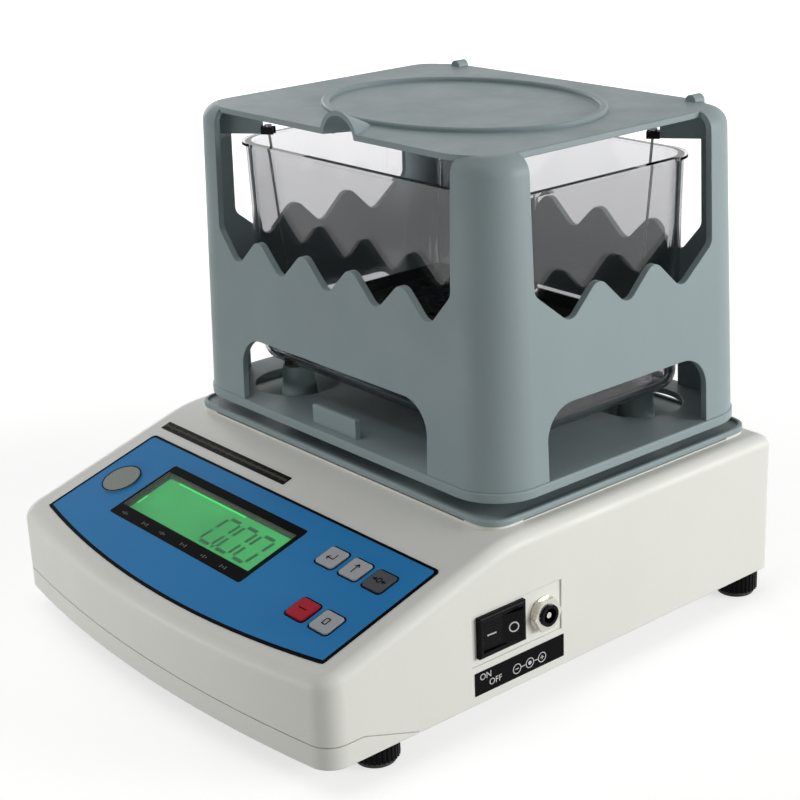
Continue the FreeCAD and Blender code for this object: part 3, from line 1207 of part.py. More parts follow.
# Panel, display, keys and boards
def panel_overlay():
    film = film_block(0.0, -FILM_RECESS, FILM_PROUD)
    cuts = [window_block(FILM_GAP / 2, -OVERRUN, OVERRUN)]
    for place in KEY_PLACES.values():
        cuts.append(key_block(place, KEY_GAP, -OVERRUN, OVERRUN))
    return on_panel(cut_all(film, cuts))


def display_window():
    return on_panel(window_block(0.0, FILM_PROUD - WINDOW_THICKNESS, FILM_PROUD))


def display_block(length, height, z0, z1):
    return centred_box(WINDOW_CENTRE_X, WINDOW_CENTRE_Y, length, height, z0, z1)


def lcd_glass():
    top = -DISPLAY_DEPTH
    return on_panel(display_block(GLASS_LENGTH, GLASS_HEIGHT, top - GLASS_THICKNESS, top))


def lcd_backlight():
    top = -DISPLAY_DEPTH - GLASS_THICKNESS
    return on_panel(display_block(GLASS_LENGTH, GLASS_HEIGHT, top - BACKLIGHT_THICKNESS, top))


def lcd_frame():
    """The frame that clamps glass and backlight to the main board."""
    margin = 2 * DISPLAY_FRAME_WALL
    top = -DISPLAY_DEPTH + DISPLAY_FRAME_LIP
    outer = display_block(GLASS_LENGTH + margin, GLASS_HEIGHT + margin, BOARD_TOP, top)
    room = display_block(GLASS_LENGTH, GLASS_HEIGHT, BOARD_TOP, -DISPLAY_DEPTH)
    view = display_block(GLASS_LENGTH - margin, GLASS_HEIGHT - margin, BOARD_TOP, OVERRUN)
    return on_panel(cut_all(outer, [room, view]))


def circuit_board(left, right, low, top, board_top, corners):
    board = box(left, right, low, top, board_top - BOARD_THICKNESS, board_top)
    holes = [
        cylinder(BOARD_SCREW_RADIUS + CLEARANCE, x, y, board_top - OVERRUN, board_top + OVERRUN)
        for x, y in corners
    ]
    return on_panel(cut_all(board, holes))


def main_board():
    return circuit_board(MAIN_BOARD_LEFT_X, MAIN_BOARD_RIGHT_X, MAIN_BOARD_LOW_Y, MAIN_BOARD_TOP_Y,
                         BOARD_TOP, MAIN_BOARD_CORNERS)


def keypad_board():
    return circuit_board(KEY_BOARD_LEFT_X, KEY_BOARD_RIGHT_X, KEY_BOARD_LOW_Y, KEY_BOARD_TOP_Y,
                         KEY_BOARD_TOP, KEY_BOARD_CORNERS)


def board_screws():
    screws = []
    for corners, top in ((MAIN_BOARD_CORNERS, BOARD_TOP), (KEY_BOARD_CORNERS, KEY_BOARD_TOP)):
        seat = top - BOARD_THICKNESS
        reach = PANEL_WALL_UNDER - seat
        for x, y in corners:
            screw = pan_head_screw(BOARD_SCREW_RADIUS, BOARD_SCREW_HEAD, BOARD_SCREW_HEAD, reach,
                                   x, y, seat, -1)
            screws.append(on_panel(screw))
    return Part.makeCompound(screws)


BOARD_UNDER = BOARD_TOP - BOARD_THICKNESS
BOARD_LENGTH = MAIN_BOARD_RIGHT_X - MAIN_BOARD_LEFT_X
BOARD_DEPTH = MAIN_BOARD_TOP_Y - MAIN_BOARD_LOW_Y


def board_place(x_share, y_share):
    """A place on the main board from its left and low edges."""
    return (MAIN_BOARD_LEFT_X + x_share * BOARD_LENGTH, MAIN_BOARD_LOW_Y + y_share * BOARD_DEPTH)


def board_chips():
    chips = []
    chip_shares = ((0.28, 0.55, 0.13, 0.3), (0.5, 0.6, 0.09, 0.14), (0.62, 0.35, 0.06, 0.2))
    for x_share, y_share, length_share, depth_share in chip_shares:
        x, y = board_place(x_share, y_share)
        chips.append(on_panel(centred_box(
            x, y, length_share * BOARD_LENGTH, depth_share * BOARD_DEPTH,
            BOARD_UNDER - CHIP_HEIGHT, BOARD_UNDER,
        )))
    return Part.makeCompound(chips)


CELL_PLUG = board_place(0.5, 0.25)
POWER_PLUG = board_place(0.86, 0.25)
PLUG_LENGTH_SHARE = 0.1
PLUG_DEPTH_SHARE = 0.15


def board_connectors():
    plugs = []
    for x, y in (CELL_PLUG, POWER_PLUG):
        plugs.append(on_panel(centred_box(
            x, y, PLUG_LENGTH_SHARE * BOARD_LENGTH, PLUG_DEPTH_SHARE * BOARD_DEPTH,
            BOARD_UNDER - CONNECTOR_HEIGHT, BOARD_UNDER,
        )))
    return Part.makeCompound(plugs)


def buzzer():
    x, y = board_place(0.8, 0.7)
    return on_panel(cylinder(BUZZER_RADIUS, x, y, BOARD_UNDER - BUZZER_HEIGHT, BOARD_UNDER))


def key(name):
    """A key cap, the flange that keeps it in, and the stem over its dome."""
    place = KEY_PLACES[name]
    cap = key_block(place, 0.0, KEY_FLANGE_TOP - KEY_FLANGE_THICKNESS, KEY_PROUD)
    cap = cap.makeFillet(KEY_RADIUS / 3, edges_at_z(cap, KEY_PROUD))
    flange = key_block(place, KEY_FLANGE_MARGIN, KEY_FLANGE_TOP - KEY_FLANGE_THICKNESS, KEY_FLANGE_TOP)
    stem = cylinder(KEY_STEM_RADIUS, *place, KEY_STEM_END, KEY_PROUD / 2)
    return on_panel(fuse_all([cap, flange, stem]))


def key_domes():
    return Part.makeCompound([
        on_panel(cylinder(DOME_RADIUS, x, y, KEY_BOARD_TOP, KEY_BOARD_TOP + DOME_HEIGHT))
        for x, y in KEY_PLACES.values()
    ])


def badge_disc():
    return on_panel(cylinder(BADGE_RADIUS, BADGE_X, BADGE_Y, FILM_PROUD, FILM_PROUD + BADGE_THICKNESS))


def spec_strip():
    return on_panel(box(STRIP_LEFT_X, STRIP_RIGHT_X, STRIP_LOW_Y, STRIP_LOW_Y + STRIP_HEIGHT,
                        0, STICKER_THICKNESS))


def side_label():
    return box(HOUSING_HALF_WIDTH, HOUSING_HALF_WIDTH + STICKER_THICKNESS, LABEL_FRONT_Y, LABEL_BACK_Y,
               LABEL_LOW_Z, LABEL_LOW_Z + LABEL_HEIGHT)


# Switch and inlet
def rocker_switch_body():
    """The switch's bezel and box, open towards the rocker."""
    half_length = SWITCH_LENGTH / 2
    half_height = SWITCH_HEIGHT / 2
    bezel = box(SIDE_FACE_X, SIDE_FACE_X + SWITCH_BEZEL, SWITCH_Y - half_length, SWITCH_Y + half_length,
                SWITCH_Z - half_height, SWITCH_Z + half_height)
    outer_edges = [e for e in bezel.Edges if e.BoundBox.XMin > SIDE_FACE_X + SWITCH_BEZEL / 2]
    bezel = bezel.makeFillet(SWITCH_BEZEL / 3, outer_edges)
    body_half = SWITCH_BODY_LENGTH / 2
    body_rise = SWITCH_BODY_HEIGHT / 2
    body = box(SIDE_FACE_X - SWITCH_BODY_DEPTH, SIDE_FACE_X + SWITCH_BEZEL / 2,
               SWITCH_Y - body_half, SWITCH_Y + body_half, SWITCH_Z - body_rise, SWITCH_Z + body_rise)
    room_half = ROCKER_LENGTH / 2 + ROCKER_END_GAP
    room_rise = ROCKER_HEIGHT / 2 + ROCKER_SIDE_GAP
    room = box(SIDE_FACE_X - SWITCH_BODY_DEPTH + 2 * SWITCH_WALL, SIDE_FACE_X + OVERRUN,
               SWITCH_Y - room_half, SWITCH_Y + room_half, SWITCH_Z - room_rise, SWITCH_Z + room_rise)
    pin_reach = ROCKER_HEIGHT / 2 + ROCKER_PIN_LENGTH + ROCKER_SIDE_GAP / 2
    pin_hole = cylinder(ROCKER_PIN_RADIUS + THREAD_FIT, SIDE_FACE_X + ROCKER_PIVOT_OUT, SWITCH_Y,
                        SWITCH_Z - pin_reach, SWITCH_Z + pin_reach)
    return cut_all(bezel.fuse(body).removeSplitter(), [room, pin_hole])


def rocker():
    """The rocker, resting with its front half pressed in."""
    half = ROCKER_LENGTH / 2
    root = ROCKER_ROOT_LENGTH / 2
    low_z = SWITCH_Z - ROCKER_HEIGHT / 2
    outline = [
        (half, ROCKER_END_RISE), (0, ROCKER_MIDDLE_RISE), (-half, ROCKER_END_RISE),
        (-half, 0), (-root, -ROCKER_ROOT_DEPTH), (root, -ROCKER_ROOT_DEPTH), (half, 0),
    ]
    pivot_x = SIDE_FACE_X + ROCKER_PIVOT_OUT
    points = [V(pivot_x + out, SWITCH_Y + along, low_z) for along, out in outline]
    body = polygon_prism(points, V(0, 0, ROCKER_HEIGHT))
    pin = cylinder(ROCKER_PIN_RADIUS, pivot_x, SWITCH_Y, low_z - ROCKER_PIN_LENGTH,
                   low_z + ROCKER_HEIGHT + ROCKER_PIN_LENGTH)
    piece = body.fuse(pin).removeSplitter()
    piece.rotate(V(pivot_x, SWITCH_Y, 0), UP, -ROCKER_TILT)
    return piece


def switch_terminals():
    back_x = SIDE_FACE_X - SWITCH_BODY_DEPTH
    blades = []
    for side in SIDES:
        y = SWITCH_Y + side * TERMINAL_OFFSET
        blades.append(box(back_x - TERMINAL_LENGTH, back_x, y - TERMINAL_THICKNESS / 2,
                          y + TERMINAL_THICKNESS / 2, SWITCH_Z - TERMINAL_WIDTH / 2,
                          SWITCH_Z + TERMINAL_WIDTH / 2))
    return Part.makeCompound(blades)


INLET_WALL_X = HOUSING_HALF_WIDTH - WALL
INLET_MOUTH_X = SIDE_FACE_X + INLET_PROUD


def power_inlet():
    barrel = side_cylinder(INLET_BARREL_RADIUS, INLET_WALL_X, INLET_MOUTH_X, INLET_Y, INLET_Z)
    body = side_cylinder(INLET_BODY_RADIUS, INLET_WALL_X - INLET_BODY_LENGTH, INLET_WALL_X,
                         INLET_Y, INLET_Z)
    bore = side_cylinder(INLET_BORE_RADIUS, INLET_MOUTH_X - INLET_BORE_DEPTH, INLET_MOUTH_X + OVERRUN,
                         INLET_Y, INLET_Z)
    return barrel.fuse(body).removeSplitter().cut(bore)


def power_inlet_pin():
    return side_cylinder(INLET_PIN_RADIUS, INLET_MOUTH_X - INLET_BORE_DEPTH,
                         INLET_MOUTH_X - WASHER_THICKNESS, INLET_Y, INLET_Z)


def power_inlet_washer():
    outer = side_cylinder(WASHER_RADIUS, SIDE_FACE_X, SIDE_FACE_X + WASHER_THICKNESS, INLET_Y, INLET_Z)
    inner = side_cylinder(INLET_BARREL_RADIUS + INLET_HOLE_GAP, SIDE_FACE_X,
                          SIDE_FACE_X + WASHER_THICKNESS, INLET_Y, INLET_Z)
    return outer.cut(inner)


def power_inlet_nut():
    corner_radius = NUT_ACROSS_FLATS / math.sqrt(3)
    start_x = SIDE_FACE_X + WASHER_THICKNESS
    points = []
    for index in range(6):
        angle = math.radians(60 * index)
        points.append(V(start_x, INLET_Y + corner_radius * math.cos(angle),
                        INLET_Z + corner_radius * math.sin(angle)))
    hexagon = polygon_prism(points, V(NUT_THICKNESS, 0, 0))
    chamfer = Part.makeCone(
        corner_radius + NUT_THICKNESS, NUT_ACROSS_FLATS / 2, NUT_THICKNESS + corner_radius / 6,
        V(start_x, INLET_Y, INLET_Z), V(1, 0, 0),
    )
    hole = side_cylinder(INLET_BARREL_RADIUS + THREAD_FIT, start_x, start_x + NUT_THICKNESS,
                         INLET_Y, INLET_Z)
    return hexagon.common(chamfer).cut(hole)


# Cables
def plug_point(x, y, radius):
    """Where an upright lead's end meets the sloping face of a plug with its nearest edge."""
    face = panel_point(x, y, BOARD_UNDER - CONNECTOR_HEIGHT)
    return V(face.x, face.y, face.z - radius * math.tan(math.radians(PANEL_ANGLE)))


def power_leads():
    """Leads from the inlet to the switch, and from both to the main board."""
    inlet_back = INLET_WALL_X - INLET_BODY_LENGTH
    terminal_x = SIDE_FACE_X - SWITCH_BODY_DEPTH - TERMINAL_LENGTH
    plug_x, plug_y = POWER_PLUG
    spread = LEAD_RADIUS * 3
    low_z = INNER_FLOOR_Z + BEND_RADIUS / 2
    front_plug = plug_point(plug_x, plug_y - spread / 2, LEAD_RADIUS)
    back_plug = plug_point(plug_x, plug_y + spread / 2, LEAD_RADIUS)
    near = terminal_x - BEND_RADIUS - spread
    far = near - BEND_RADIUS
    front_y = SWITCH_Y - TERMINAL_OFFSET
    back_y = SWITCH_Y + TERMINAL_OFFSET
    high_z = INLET_Z + spread
    under_z = INLET_Z - spread
    lane_z = low_z + 2 * spread
    between = [
        V(inlet_back, INLET_Y, high_z), V(near, INLET_Y, high_z),
        V(near, back_y, SWITCH_Z), V(terminal_x, back_y, SWITCH_Z),
    ]
    from_switch = [
        V(terminal_x, front_y, SWITCH_Z), V(near, front_y, SWITCH_Z), V(near, front_y, low_z),
        V(front_plug.x, front_plug.y, low_z), front_plug,
    ]
    from_inlet = [
        V(inlet_back, INLET_Y, under_z), V(far, INLET_Y, under_z), V(far, INLET_Y, lane_z),
        V(back_plug.x, back_plug.y, lane_z), back_plug,
    ]
    return Part.makeCompound([cable(points, LEAD_RADIUS) for points in (between, from_switch, from_inlet)])


def load_cell_cable():
    plug = plug_point(*CELL_PLUG, CELL_CABLE_RADIUS)
    start = V(-CELL_HOLE_OFFSET * 2, CAGE_Y - CELL_SIDE / 2, CELL_BOTTOM_Z + CELL_SIDE / 2)
    low_z = INNER_FLOOR_Z + BEND_RADIUS / 2
    middle_y = (start.y + plug.y) / 2
    return cable([start, V(start.x, middle_y, start.z), V(plug.x, plug.y, low_z), plug],
                 CELL_CABLE_RADIUS)


def keypad_cable():
    """A flat cable from the main board's face to the keypad board's underside."""
    start_x = MAIN_BOARD_RIGHT_X - 2 * BOARD_EDGE / 3
    end_x = KEY_BOARD_LEFT_X + 2 * BOARD_EDGE
    middle_y = WINDOW_CENTRE_Y
    low = BOARD_TOP
    high = KEY_BOARD_TOP - BOARD_THICKNESS - RIBBON_THICKNESS
    lift = RIBBON_THICKNESS
    rise_x = MAIN_BOARD_RIGHT_X
    outline = [
        (start_x, low), (rise_x, low), (KEY_BOARD_LEFT_X, high), (end_x, high),
        (end_x, high + lift), (KEY_BOARD_LEFT_X, high + lift), (rise_x, low + lift), (start_x, low + lift),
    ]
    points = [V(x, middle_y - RIBBON_WIDTH / 2, z) for x, z in outline]
    return on_panel(polygon_prism(points, V(0, RIBBON_WIDTH, 0)))


NODES = {
    "upper_housing": upper_housing,
    "lower_housing": lower_housing,
    "housing_screws": housing_screws,
    "foot_inserts": foot_inserts,
    "load_cell": load_cell,
    "load_cell_base": load_cell_base,
    "load_cell_base_screws": load_cell_base_screws,
    "load_cell_top_screws": load_cell_top_screws,
    "overload_stop_screw": overload_stop_screw,
    "pan_carrier": pan_carrier,
    "platform_screws": platform_screws,
    "weighing_plate": weighing_plate,
    "tank_tray": tank_tray,
    "tray_screws": tray_screws,
    "tank_posts": tank_posts,
    "post_pads": post_pads,
    "water_tank": water_tank,
    "weighing_frame": weighing_frame,
    "hanger_hooks": hanger_hooks,
    "basket_wires": basket_wires,
    "immersion_basket": immersion_basket,
    "panel_overlay": panel_overlay,
    "display_window": display_window,
    "lcd_glass": lcd_glass,
    "lcd_backlight": lcd_backlight,
    "lcd_frame": lcd_frame,
    "main_board": main_board,
    "keypad_board": keypad_board,
    "board_screws": board_screws,
    "board_chips": board_chips,
    "board_connectors": board_connectors,
    "buzzer": buzzer,
    "key_domes": key_domes,
    "badge_disc": badge_disc,
    "spec_strip": spec_strip,
    "side_label": side_label,
    "rocker_switch_body": rocker_switch_body,
    "rocker": rocker,
    "switch_terminals": switch_terminals,
    "power_inlet": power_inlet,
    "power_inlet_pin": power_inlet_pin,
    "power_inlet_washer": power_inlet_washer,
    "power_inlet_nut": power_inlet_nut,
    "power_leads": power_leads,
    "load_cell_cable": load_cell_cable,
    "keypad_cable": keypad_cable,
}
for foot_name, foot_place in FEET.items():
    NODES["foot_pad_" + foot_name] = lambda place=foot_place: foot_pad(place)
    NODES["foot_knob_" + foot_name] = lambda place=foot_place: foot_knob(place)
for key_name in KEY_PLACES:
    NODES[key_name] = lambda name=key_name: key(name)

os.makedirs("parts", exist_ok=True)
for node, build in NODES.items():
    shape = build()
    shape.exportStep("parts/" + node + ".step")
    size = shape.BoundBox
    print(node, "solids", len(shape.Solids), "valid", shape.isValid(),
          round(size.XMin, 1), round(size.XMax, 1), round(size.YMin, 1), round(size.YMax, 1),
          round(size.ZMin, 1), round(size.ZMax, 1))
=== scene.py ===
import json
import math

import bmesh
import bpy
from mathutils import Matrix, Vector


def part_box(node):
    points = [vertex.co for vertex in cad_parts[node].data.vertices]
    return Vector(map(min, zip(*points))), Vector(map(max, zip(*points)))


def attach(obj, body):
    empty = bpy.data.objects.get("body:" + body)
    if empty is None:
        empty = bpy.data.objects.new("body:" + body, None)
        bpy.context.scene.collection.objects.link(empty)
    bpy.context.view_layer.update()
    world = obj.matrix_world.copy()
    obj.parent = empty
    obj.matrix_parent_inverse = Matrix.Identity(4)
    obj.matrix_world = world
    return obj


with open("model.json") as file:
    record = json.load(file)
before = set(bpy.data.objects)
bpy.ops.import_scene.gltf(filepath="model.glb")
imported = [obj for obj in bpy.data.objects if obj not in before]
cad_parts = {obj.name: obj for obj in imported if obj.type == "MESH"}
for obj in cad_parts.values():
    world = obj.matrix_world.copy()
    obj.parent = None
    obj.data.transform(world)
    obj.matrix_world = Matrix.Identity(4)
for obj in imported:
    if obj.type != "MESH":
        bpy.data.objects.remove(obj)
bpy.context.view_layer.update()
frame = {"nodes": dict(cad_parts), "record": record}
nodes = frame["nodes"]

MM = 0.001

# Camera, from the photograph's perspective
CAMERA_PLACE = Vector((470.1, -371.3, 303.3)) * MM
CAMERA_YAW = math.radians(50.994)
CAMERA_PITCH = math.radians(20.196)
CAMERA_ROLL = math.radians(2.447)
CAMERA_LENS = 77.28
CAMERA_SENSOR = 36.0

# Prints: how far they stand out of a surface and reach into it
PRINT = 0.06 * MM
PRINT_SINK = 0.02 * MM

# Sloping panel and its film
PANEL_ANGLE = math.radians(17.0)
PANEL_TOP_Y = -46.598 * MM
PANEL_TOP_Z = 58.7 * MM
PANEL = Matrix.Translation((0, PANEL_TOP_Y, PANEL_TOP_Z)) @ Matrix.Rotation(PANEL_ANGLE, 4, "X")
FILM_CORNER = 2.0 * MM
FILM_BOW = 8.7 * MM
FILM_LINE = 1.05 * MM
FILM_WRAP = 0.06 * MM
FILM_EDGE_DEPTH = 0.4 * MM
CORNER_STEPS = 6
BOW_STEPS = 48

# Print on the display window
WINDOW_EDGE = 0.05 * MM
WINDOW_CORNER = 1.1 * MM
OPENING_LEFT = 1.3 * MM
OPENING_RIGHT = 2.2 * MM
OPENING_TOP = 3.7 * MM
OPENING_LOW = 5.7 * MM
OPENING_CORNER = 0.4 * MM
MARK_PLACE_SHARES = (0.09, 0.255, 0.39, 0.555, 0.71, 0.85)
MARK_LEVEL = 2.375 * MM
MARK_HEIGHT = 1.5 * MM
MARK_STROKE = 0.45 * MM
MARK_STEP_SHARE = 0.9

# Display under the window
DIGIT_COUNT = 3
DIGIT_HEIGHT = 14.0 * MM
DIGIT_WIDTH = 7.6 * MM
DIGIT_PITCH = 10.4 * MM
DIGIT_STROKE = 1.5 * MM
DIGIT_GAP_SHARE = 0.62
DIGIT_SLANT_SHARE = 0.1
DIGITS_LEFT = -13.6 * MM
DIGITS_LOW = -31.0 * MM
GLOW_WIDTH = 0.9 * MM
GLOW_TOP = 4.2 * MM
GLOW_LEFT = 9.0 * MM
GLOW_LENGTH_SHARE = 0.5
GLOW_SIDE = 3.3 * MM
GLOW_SIDE_LOW = 10.5 * MM
GLOW_SIDE_LENGTH = 5.0 * MM
APERTURE_SIDE = 1.0 * MM
APERTURE_END = 4.0 * MM
APERTURE_CORNER = 1.2 * MM
# Sheet of painted shade round the display opening, between the window and the glass
SHADE_SHEET_GAP = 0.05 * MM
SHADE_SHEET_WALL = 0.15 * MM
BACK_PRINT_MARGIN = 0.4 * MM

# Keys, with the strokes of their symbols in millimetres from each key's middle
KEY_CAP_DEPTH = 0.7 * MM
KEY_LINE_NEAR = 0.3 * MM
KEY_LINE_FAR = 0.75 * MM
KEY_LINE_INNER_CORNER = 1.5 * MM
KEY_LINE_OUTER_CORNER = 1.9 * MM
KEY_STROKE = 0.42 * MM
ZERO_RING_OUTER = 1.15 * MM
ZERO_RING_INNER = 0.75 * MM
KEY_STROKES = {
    "set_key": (
        ((1.6, 1.6), (1.6, -0.8)), ((1.6, -0.8), (-1.6, -0.8)),
        ((-1.7, -0.8), (-0.6, 0.2)), ((-1.7, -0.8), (-0.6, -1.8)),
    ),
    "up_key": (((0, -2.1), (0, 2.1)), ((0, 2.1), (-1.1, 0.8)), ((0, 2.1), (1.1, 0.8))),
    "zero_key": (
        ((-3.2, 0), (-1.5, 0)), ((-1.5, 0), (-2.2, 0.6)), ((-1.5, 0), (-2.2, -0.6)),
        ((3.2, 0), (1.5, 0)), ((1.5, 0), (2.2, 0.6)), ((1.5, 0), (2.2, -0.6)),
    ),
    "red_key": (((-1.9, 0), (1.9, 0)),),
    "function_key": (
        ((-0.9, -1.3), (-0.9, 1.3)), ((-0.9, 1.3), (0.9, 1.3)),
        ((0.9, 1.3), (0.9, -1.3)), ((0.9, -1.3), (-0.9, -1.3)),
    ),
}

# Badge and the narrow strip above the film
BADGE_EDGE = 0.02 * MM
BADGE_LINE = 0.5 * MM
BADGE_POINTS = 96
TICK_COUNT = 84
TICK_GROUP = 5
TICK_LONG = 0.95 * MM
TICK_SHORT = 0.55 * MM
TICK_STROKE = 0.3 * MM

# Rocker: its pivot, how far its two faces stand from it, and the symbols on them
SIDE = Matrix(((0, 0, 1, 0), (1, 0, 0, 0), (0, 1, 0, 0), (0, 0, 0, 1)))
ROCKER_TILT = math.radians(-10.0)
ROCKER_PIVOT_X = 95.0 * MM
ROCKER_REST = 1.2 * MM
ROCKER_RISE = 2.2 * MM
ROCKER_HALF = 8.2 * MM
SYMBOL_PLACE = 4.4 * MM
SYMBOL_REACH = 1.9 * MM
SYMBOL_RING_INNER = 1.45 * MM
SYMBOL_STROKE = 0.5 * MM

# Side label, its places as shares of its width and height
LETTER_HEIGHT = 3.3 * MM
LETTER_WELD = 0.001 * MM
ON_PLACE_SHARES = (0.05, 0.62)
OFF_PLACE_SHARES = (0.15, 0.24)
POLE_PLACE_SHARES = (0.46, 0.605, 0.745)
POLE_LEVEL_SHARE = 0.4
POLE_RADIUS = 1.9 * MM
POLE_STROKE = 0.32 * MM
POLE_SIGN = 0.75 * MM
POLE_DOT_POINTS = 24

# Studio
WORLD_LEVEL = 0.2
FLOOR_SIZE = 12.0
FLOOR_CELLS = 8
FLOOR_GLOW_NEAR = 0.66
FLOOR_GLOW_FAR = 1.0
FLOOR_NEAR = 0.25
FLOOR_FAR = 0.9
SOFTBOXES = {
    "side_box": {"place": (1.4, 0.98, 0.36), "target": (0, 0.03, 0.1), "size": (1.0, 0.8), "power": 25.2},
    "top_box": {"place": (-0.1, -0.6, 1.5), "target": (0, 0, 0.1), "size": (1.0, 1.0), "power": 5.6},
    "front_box": {
        "place": (-0.1, -0.34, 0.03), "target": (-0.02, -0.1, 0.02), "size": (0.36, 0.06), "power": 0.24,
    },
    "left_box": {"place": (-1.5, 0.3, 0.5), "target": (0, 0, 0.08), "size": (1.0, 0.8), "power": 5.0},
}


# Node helpers
def new_material(name):
    """A material with only its main shader, and that shader."""
    made = bpy.data.materials.new(name)
    made.use_nodes = True
    return made, made.node_tree.nodes["Principled BSDF"]


def connect(made, value, socket):
    """Link a socket to a socket, or set it to a plain value."""
    if isinstance(value, bpy.types.NodeSocket):
        made.node_tree.links.new(value, socket)
    else:
        socket.default_value = value


def node(made, kind, **values):
    """A node of a kind, with its sockets set to numbers or linked to other sockets."""
    new = made.node_tree.nodes.new("ShaderNode" + kind)
    for key, value in values.items():
        connect(made, value, new.inputs[key.replace("_", " ")])
    return new


def calculate(made, operation, *values):
    """The result of a Math node."""
    new = made.node_tree.nodes.new("ShaderNodeMath")
    new.operation = operation
    for index, value in enumerate(values):
        connect(made, value, new.inputs[index])
    return new.outputs[0]


def object_place(made, stretch=(1, 1, 1)):
    """Object coordinates, squeezed along any axis."""
    place = node(made, "TexCoord").outputs["Object"]
    return node(made, "Mapping", Vector=place, Scale=stretch).outputs[0]


def noise(made, scale, detail=3.0, roughness=0.5, stretch=(1, 1, 1)):
    """Values round one half, with features of 1 / scale metres."""
    new = node(made, "TexNoise", Vector=object_place(made, stretch), Scale=scale,
               Detail=detail, Roughness=roughness)
    return new.outputs[0]


def spread(made, value, low, high, start=0.35, end=0.65):
    """A value moved from one range to another."""
    new = node(made, "MapRange", Value=value)
    for index, number in enumerate((start, end, low, high)):
        new.inputs[index + 1].default_value = number
    return new.outputs[0]


def from_srgb(red, green, blue):
    """A colour written as 0 to 255 display values."""
    def linear(level):
        share = level / 255
        return share / 12.92 if share <= 0.04045 else ((share + 0.055) / 1.055) ** 2.4
    return (linear(red), linear(green), linear(blue), 1.0)


def shade(colour, share):
    """A colour made darker or lighter."""
    return tuple(channel * share for channel in colour[:3]) + (1.0,)


def blend_colours(made, share, first, second):
    new = made.node_tree.nodes.new("ShaderNodeMix")
    new.data_type = "RGBA"
    connect(made, share, new.inputs["Factor"])
    connect(made, first, new.inputs["A"])
    connect(made, second, new.inputs["B"])
    return new.outputs["Result"]


def blend_shades(made, share, colour, first, second):
    """From one shade of a colour to another."""
    return blend_colours(made, share, shade(colour, first), shade(colour, second))


def edge_share(made, radius):
    """Near 1 on a convex or concave edge and 0 on flat ground, from the surface alone."""
    soft = node(made, "Bevel", Radius=radius).outputs[0]
    true = node(made, "NewGeometry").outputs["Normal"]
    product = made.node_tree.nodes.new("ShaderNodeVectorMath")
    product.operation = "DOT_PRODUCT"
    made.node_tree.links.new(soft, product.inputs[0])
    made.node_tree.links.new(true, product.inputs[1])
    return spread(made, product.outputs["Value"], 1.0, 0.0, start=0.72, end=0.995)


def add_bump(made, shader, height, strength, depth, edge_radius=0):
    """Fine relief, with the edges rounded where a radius is given."""
    bump = node(made, "Bump", Strength=strength, Distance=depth, Height=height)
    if edge_radius:
        connect(made, node(made, "Bevel", Radius=edge_radius).outputs[0], bump.inputs["Normal"])
    connect(made, bump.outputs[0], shader.inputs["Normal"])


# Materials
def plastic(name, colour, gloss, grain_size, grain_depth, edge=0.35, edge_radius=0.5 * MM, mottle=0.05,
            sheen_level=0.22):
    """Moulded plastic: eroded grain, faint flow marks, dust and edges rubbed a little lighter."""
    made, shader = new_material(name)
    flow = noise(made, 22.0, detail=4.0, roughness=0.6, stretch=(1.0, 1.0, 0.45))
    speck = noise(made, 1.0 / grain_size, detail=2.0)
    base = blend_shades(made, spread(made, flow, 0.0, 1.0), colour, 1.0 - mottle, 1.0 + mottle)
    flecked = blend_colours(made, spread(made, speck, 0.0, 0.5), base, shade(colour, 1.0 - mottle))
    wear = spread(made, noise(made, 260.0), 0.2, edge)
    rubbed = calculate(made, "MULTIPLY", edge_share(made, edge_radius), wear)
    worn = blend_colours(made, rubbed, flecked, shade(colour, 1.35))
    connect(made, worn, shader.inputs["Base Color"])
    smear = noise(made, 60.0, detail=5.0, roughness=0.65)
    connect(made, spread(made, smear, gloss - 0.05, gloss + 0.08), shader.inputs["Roughness"])
    shader.inputs["Specular IOR Level"].default_value = sheen_level
    add_bump(made, shader, speck, 0.5, grain_depth, edge_radius)
    return made


def clear_plastic():
    """Moulded clear tank plastic with a faint grey tint, fine scratches and smears."""
    made, shader = new_material("clear_plastic")
    tint = from_srgb(211, 211, 213)
    haze = noise(made, 35.0, detail=5.0, roughness=0.6)
    scratch = noise(made, 700.0, detail=2.0, stretch=(1.0, 1.0, 0.06))
    shader.inputs["Transmission Weight"].default_value = 1.0
    shader.inputs["IOR"].default_value = 1.46
    colour = blend_shades(made, spread(made, haze, 0.0, 1.0), tint, 1.0, 0.97)
    connect(made, colour, shader.inputs["Base Color"])
    connect(made, spread(made, scratch, 0.0, 0.05, start=0.5, end=0.75), shader.inputs["Roughness"])
    add_bump(made, shader, haze, 0.12, 0.02 * MM)
    return made


def smoked_window():
    """Clear display pane, slightly dark, with finger smears in its gloss."""
    made, shader = new_material("window_plastic")
    clear = from_srgb(236, 240, 238)
    smear = noise(made, 90.0, detail=4.0, roughness=0.6)
    shader.inputs["Transmission Weight"].default_value = 1.0
    shader.inputs["IOR"].default_value = 1.18
    connect(made, blend_shades(made, smear, clear, 1.0, 0.95), shader.inputs["Base Color"])
    connect(made, spread(made, smear, 0.01, 0.06), shader.inputs["Roughness"])
    return made


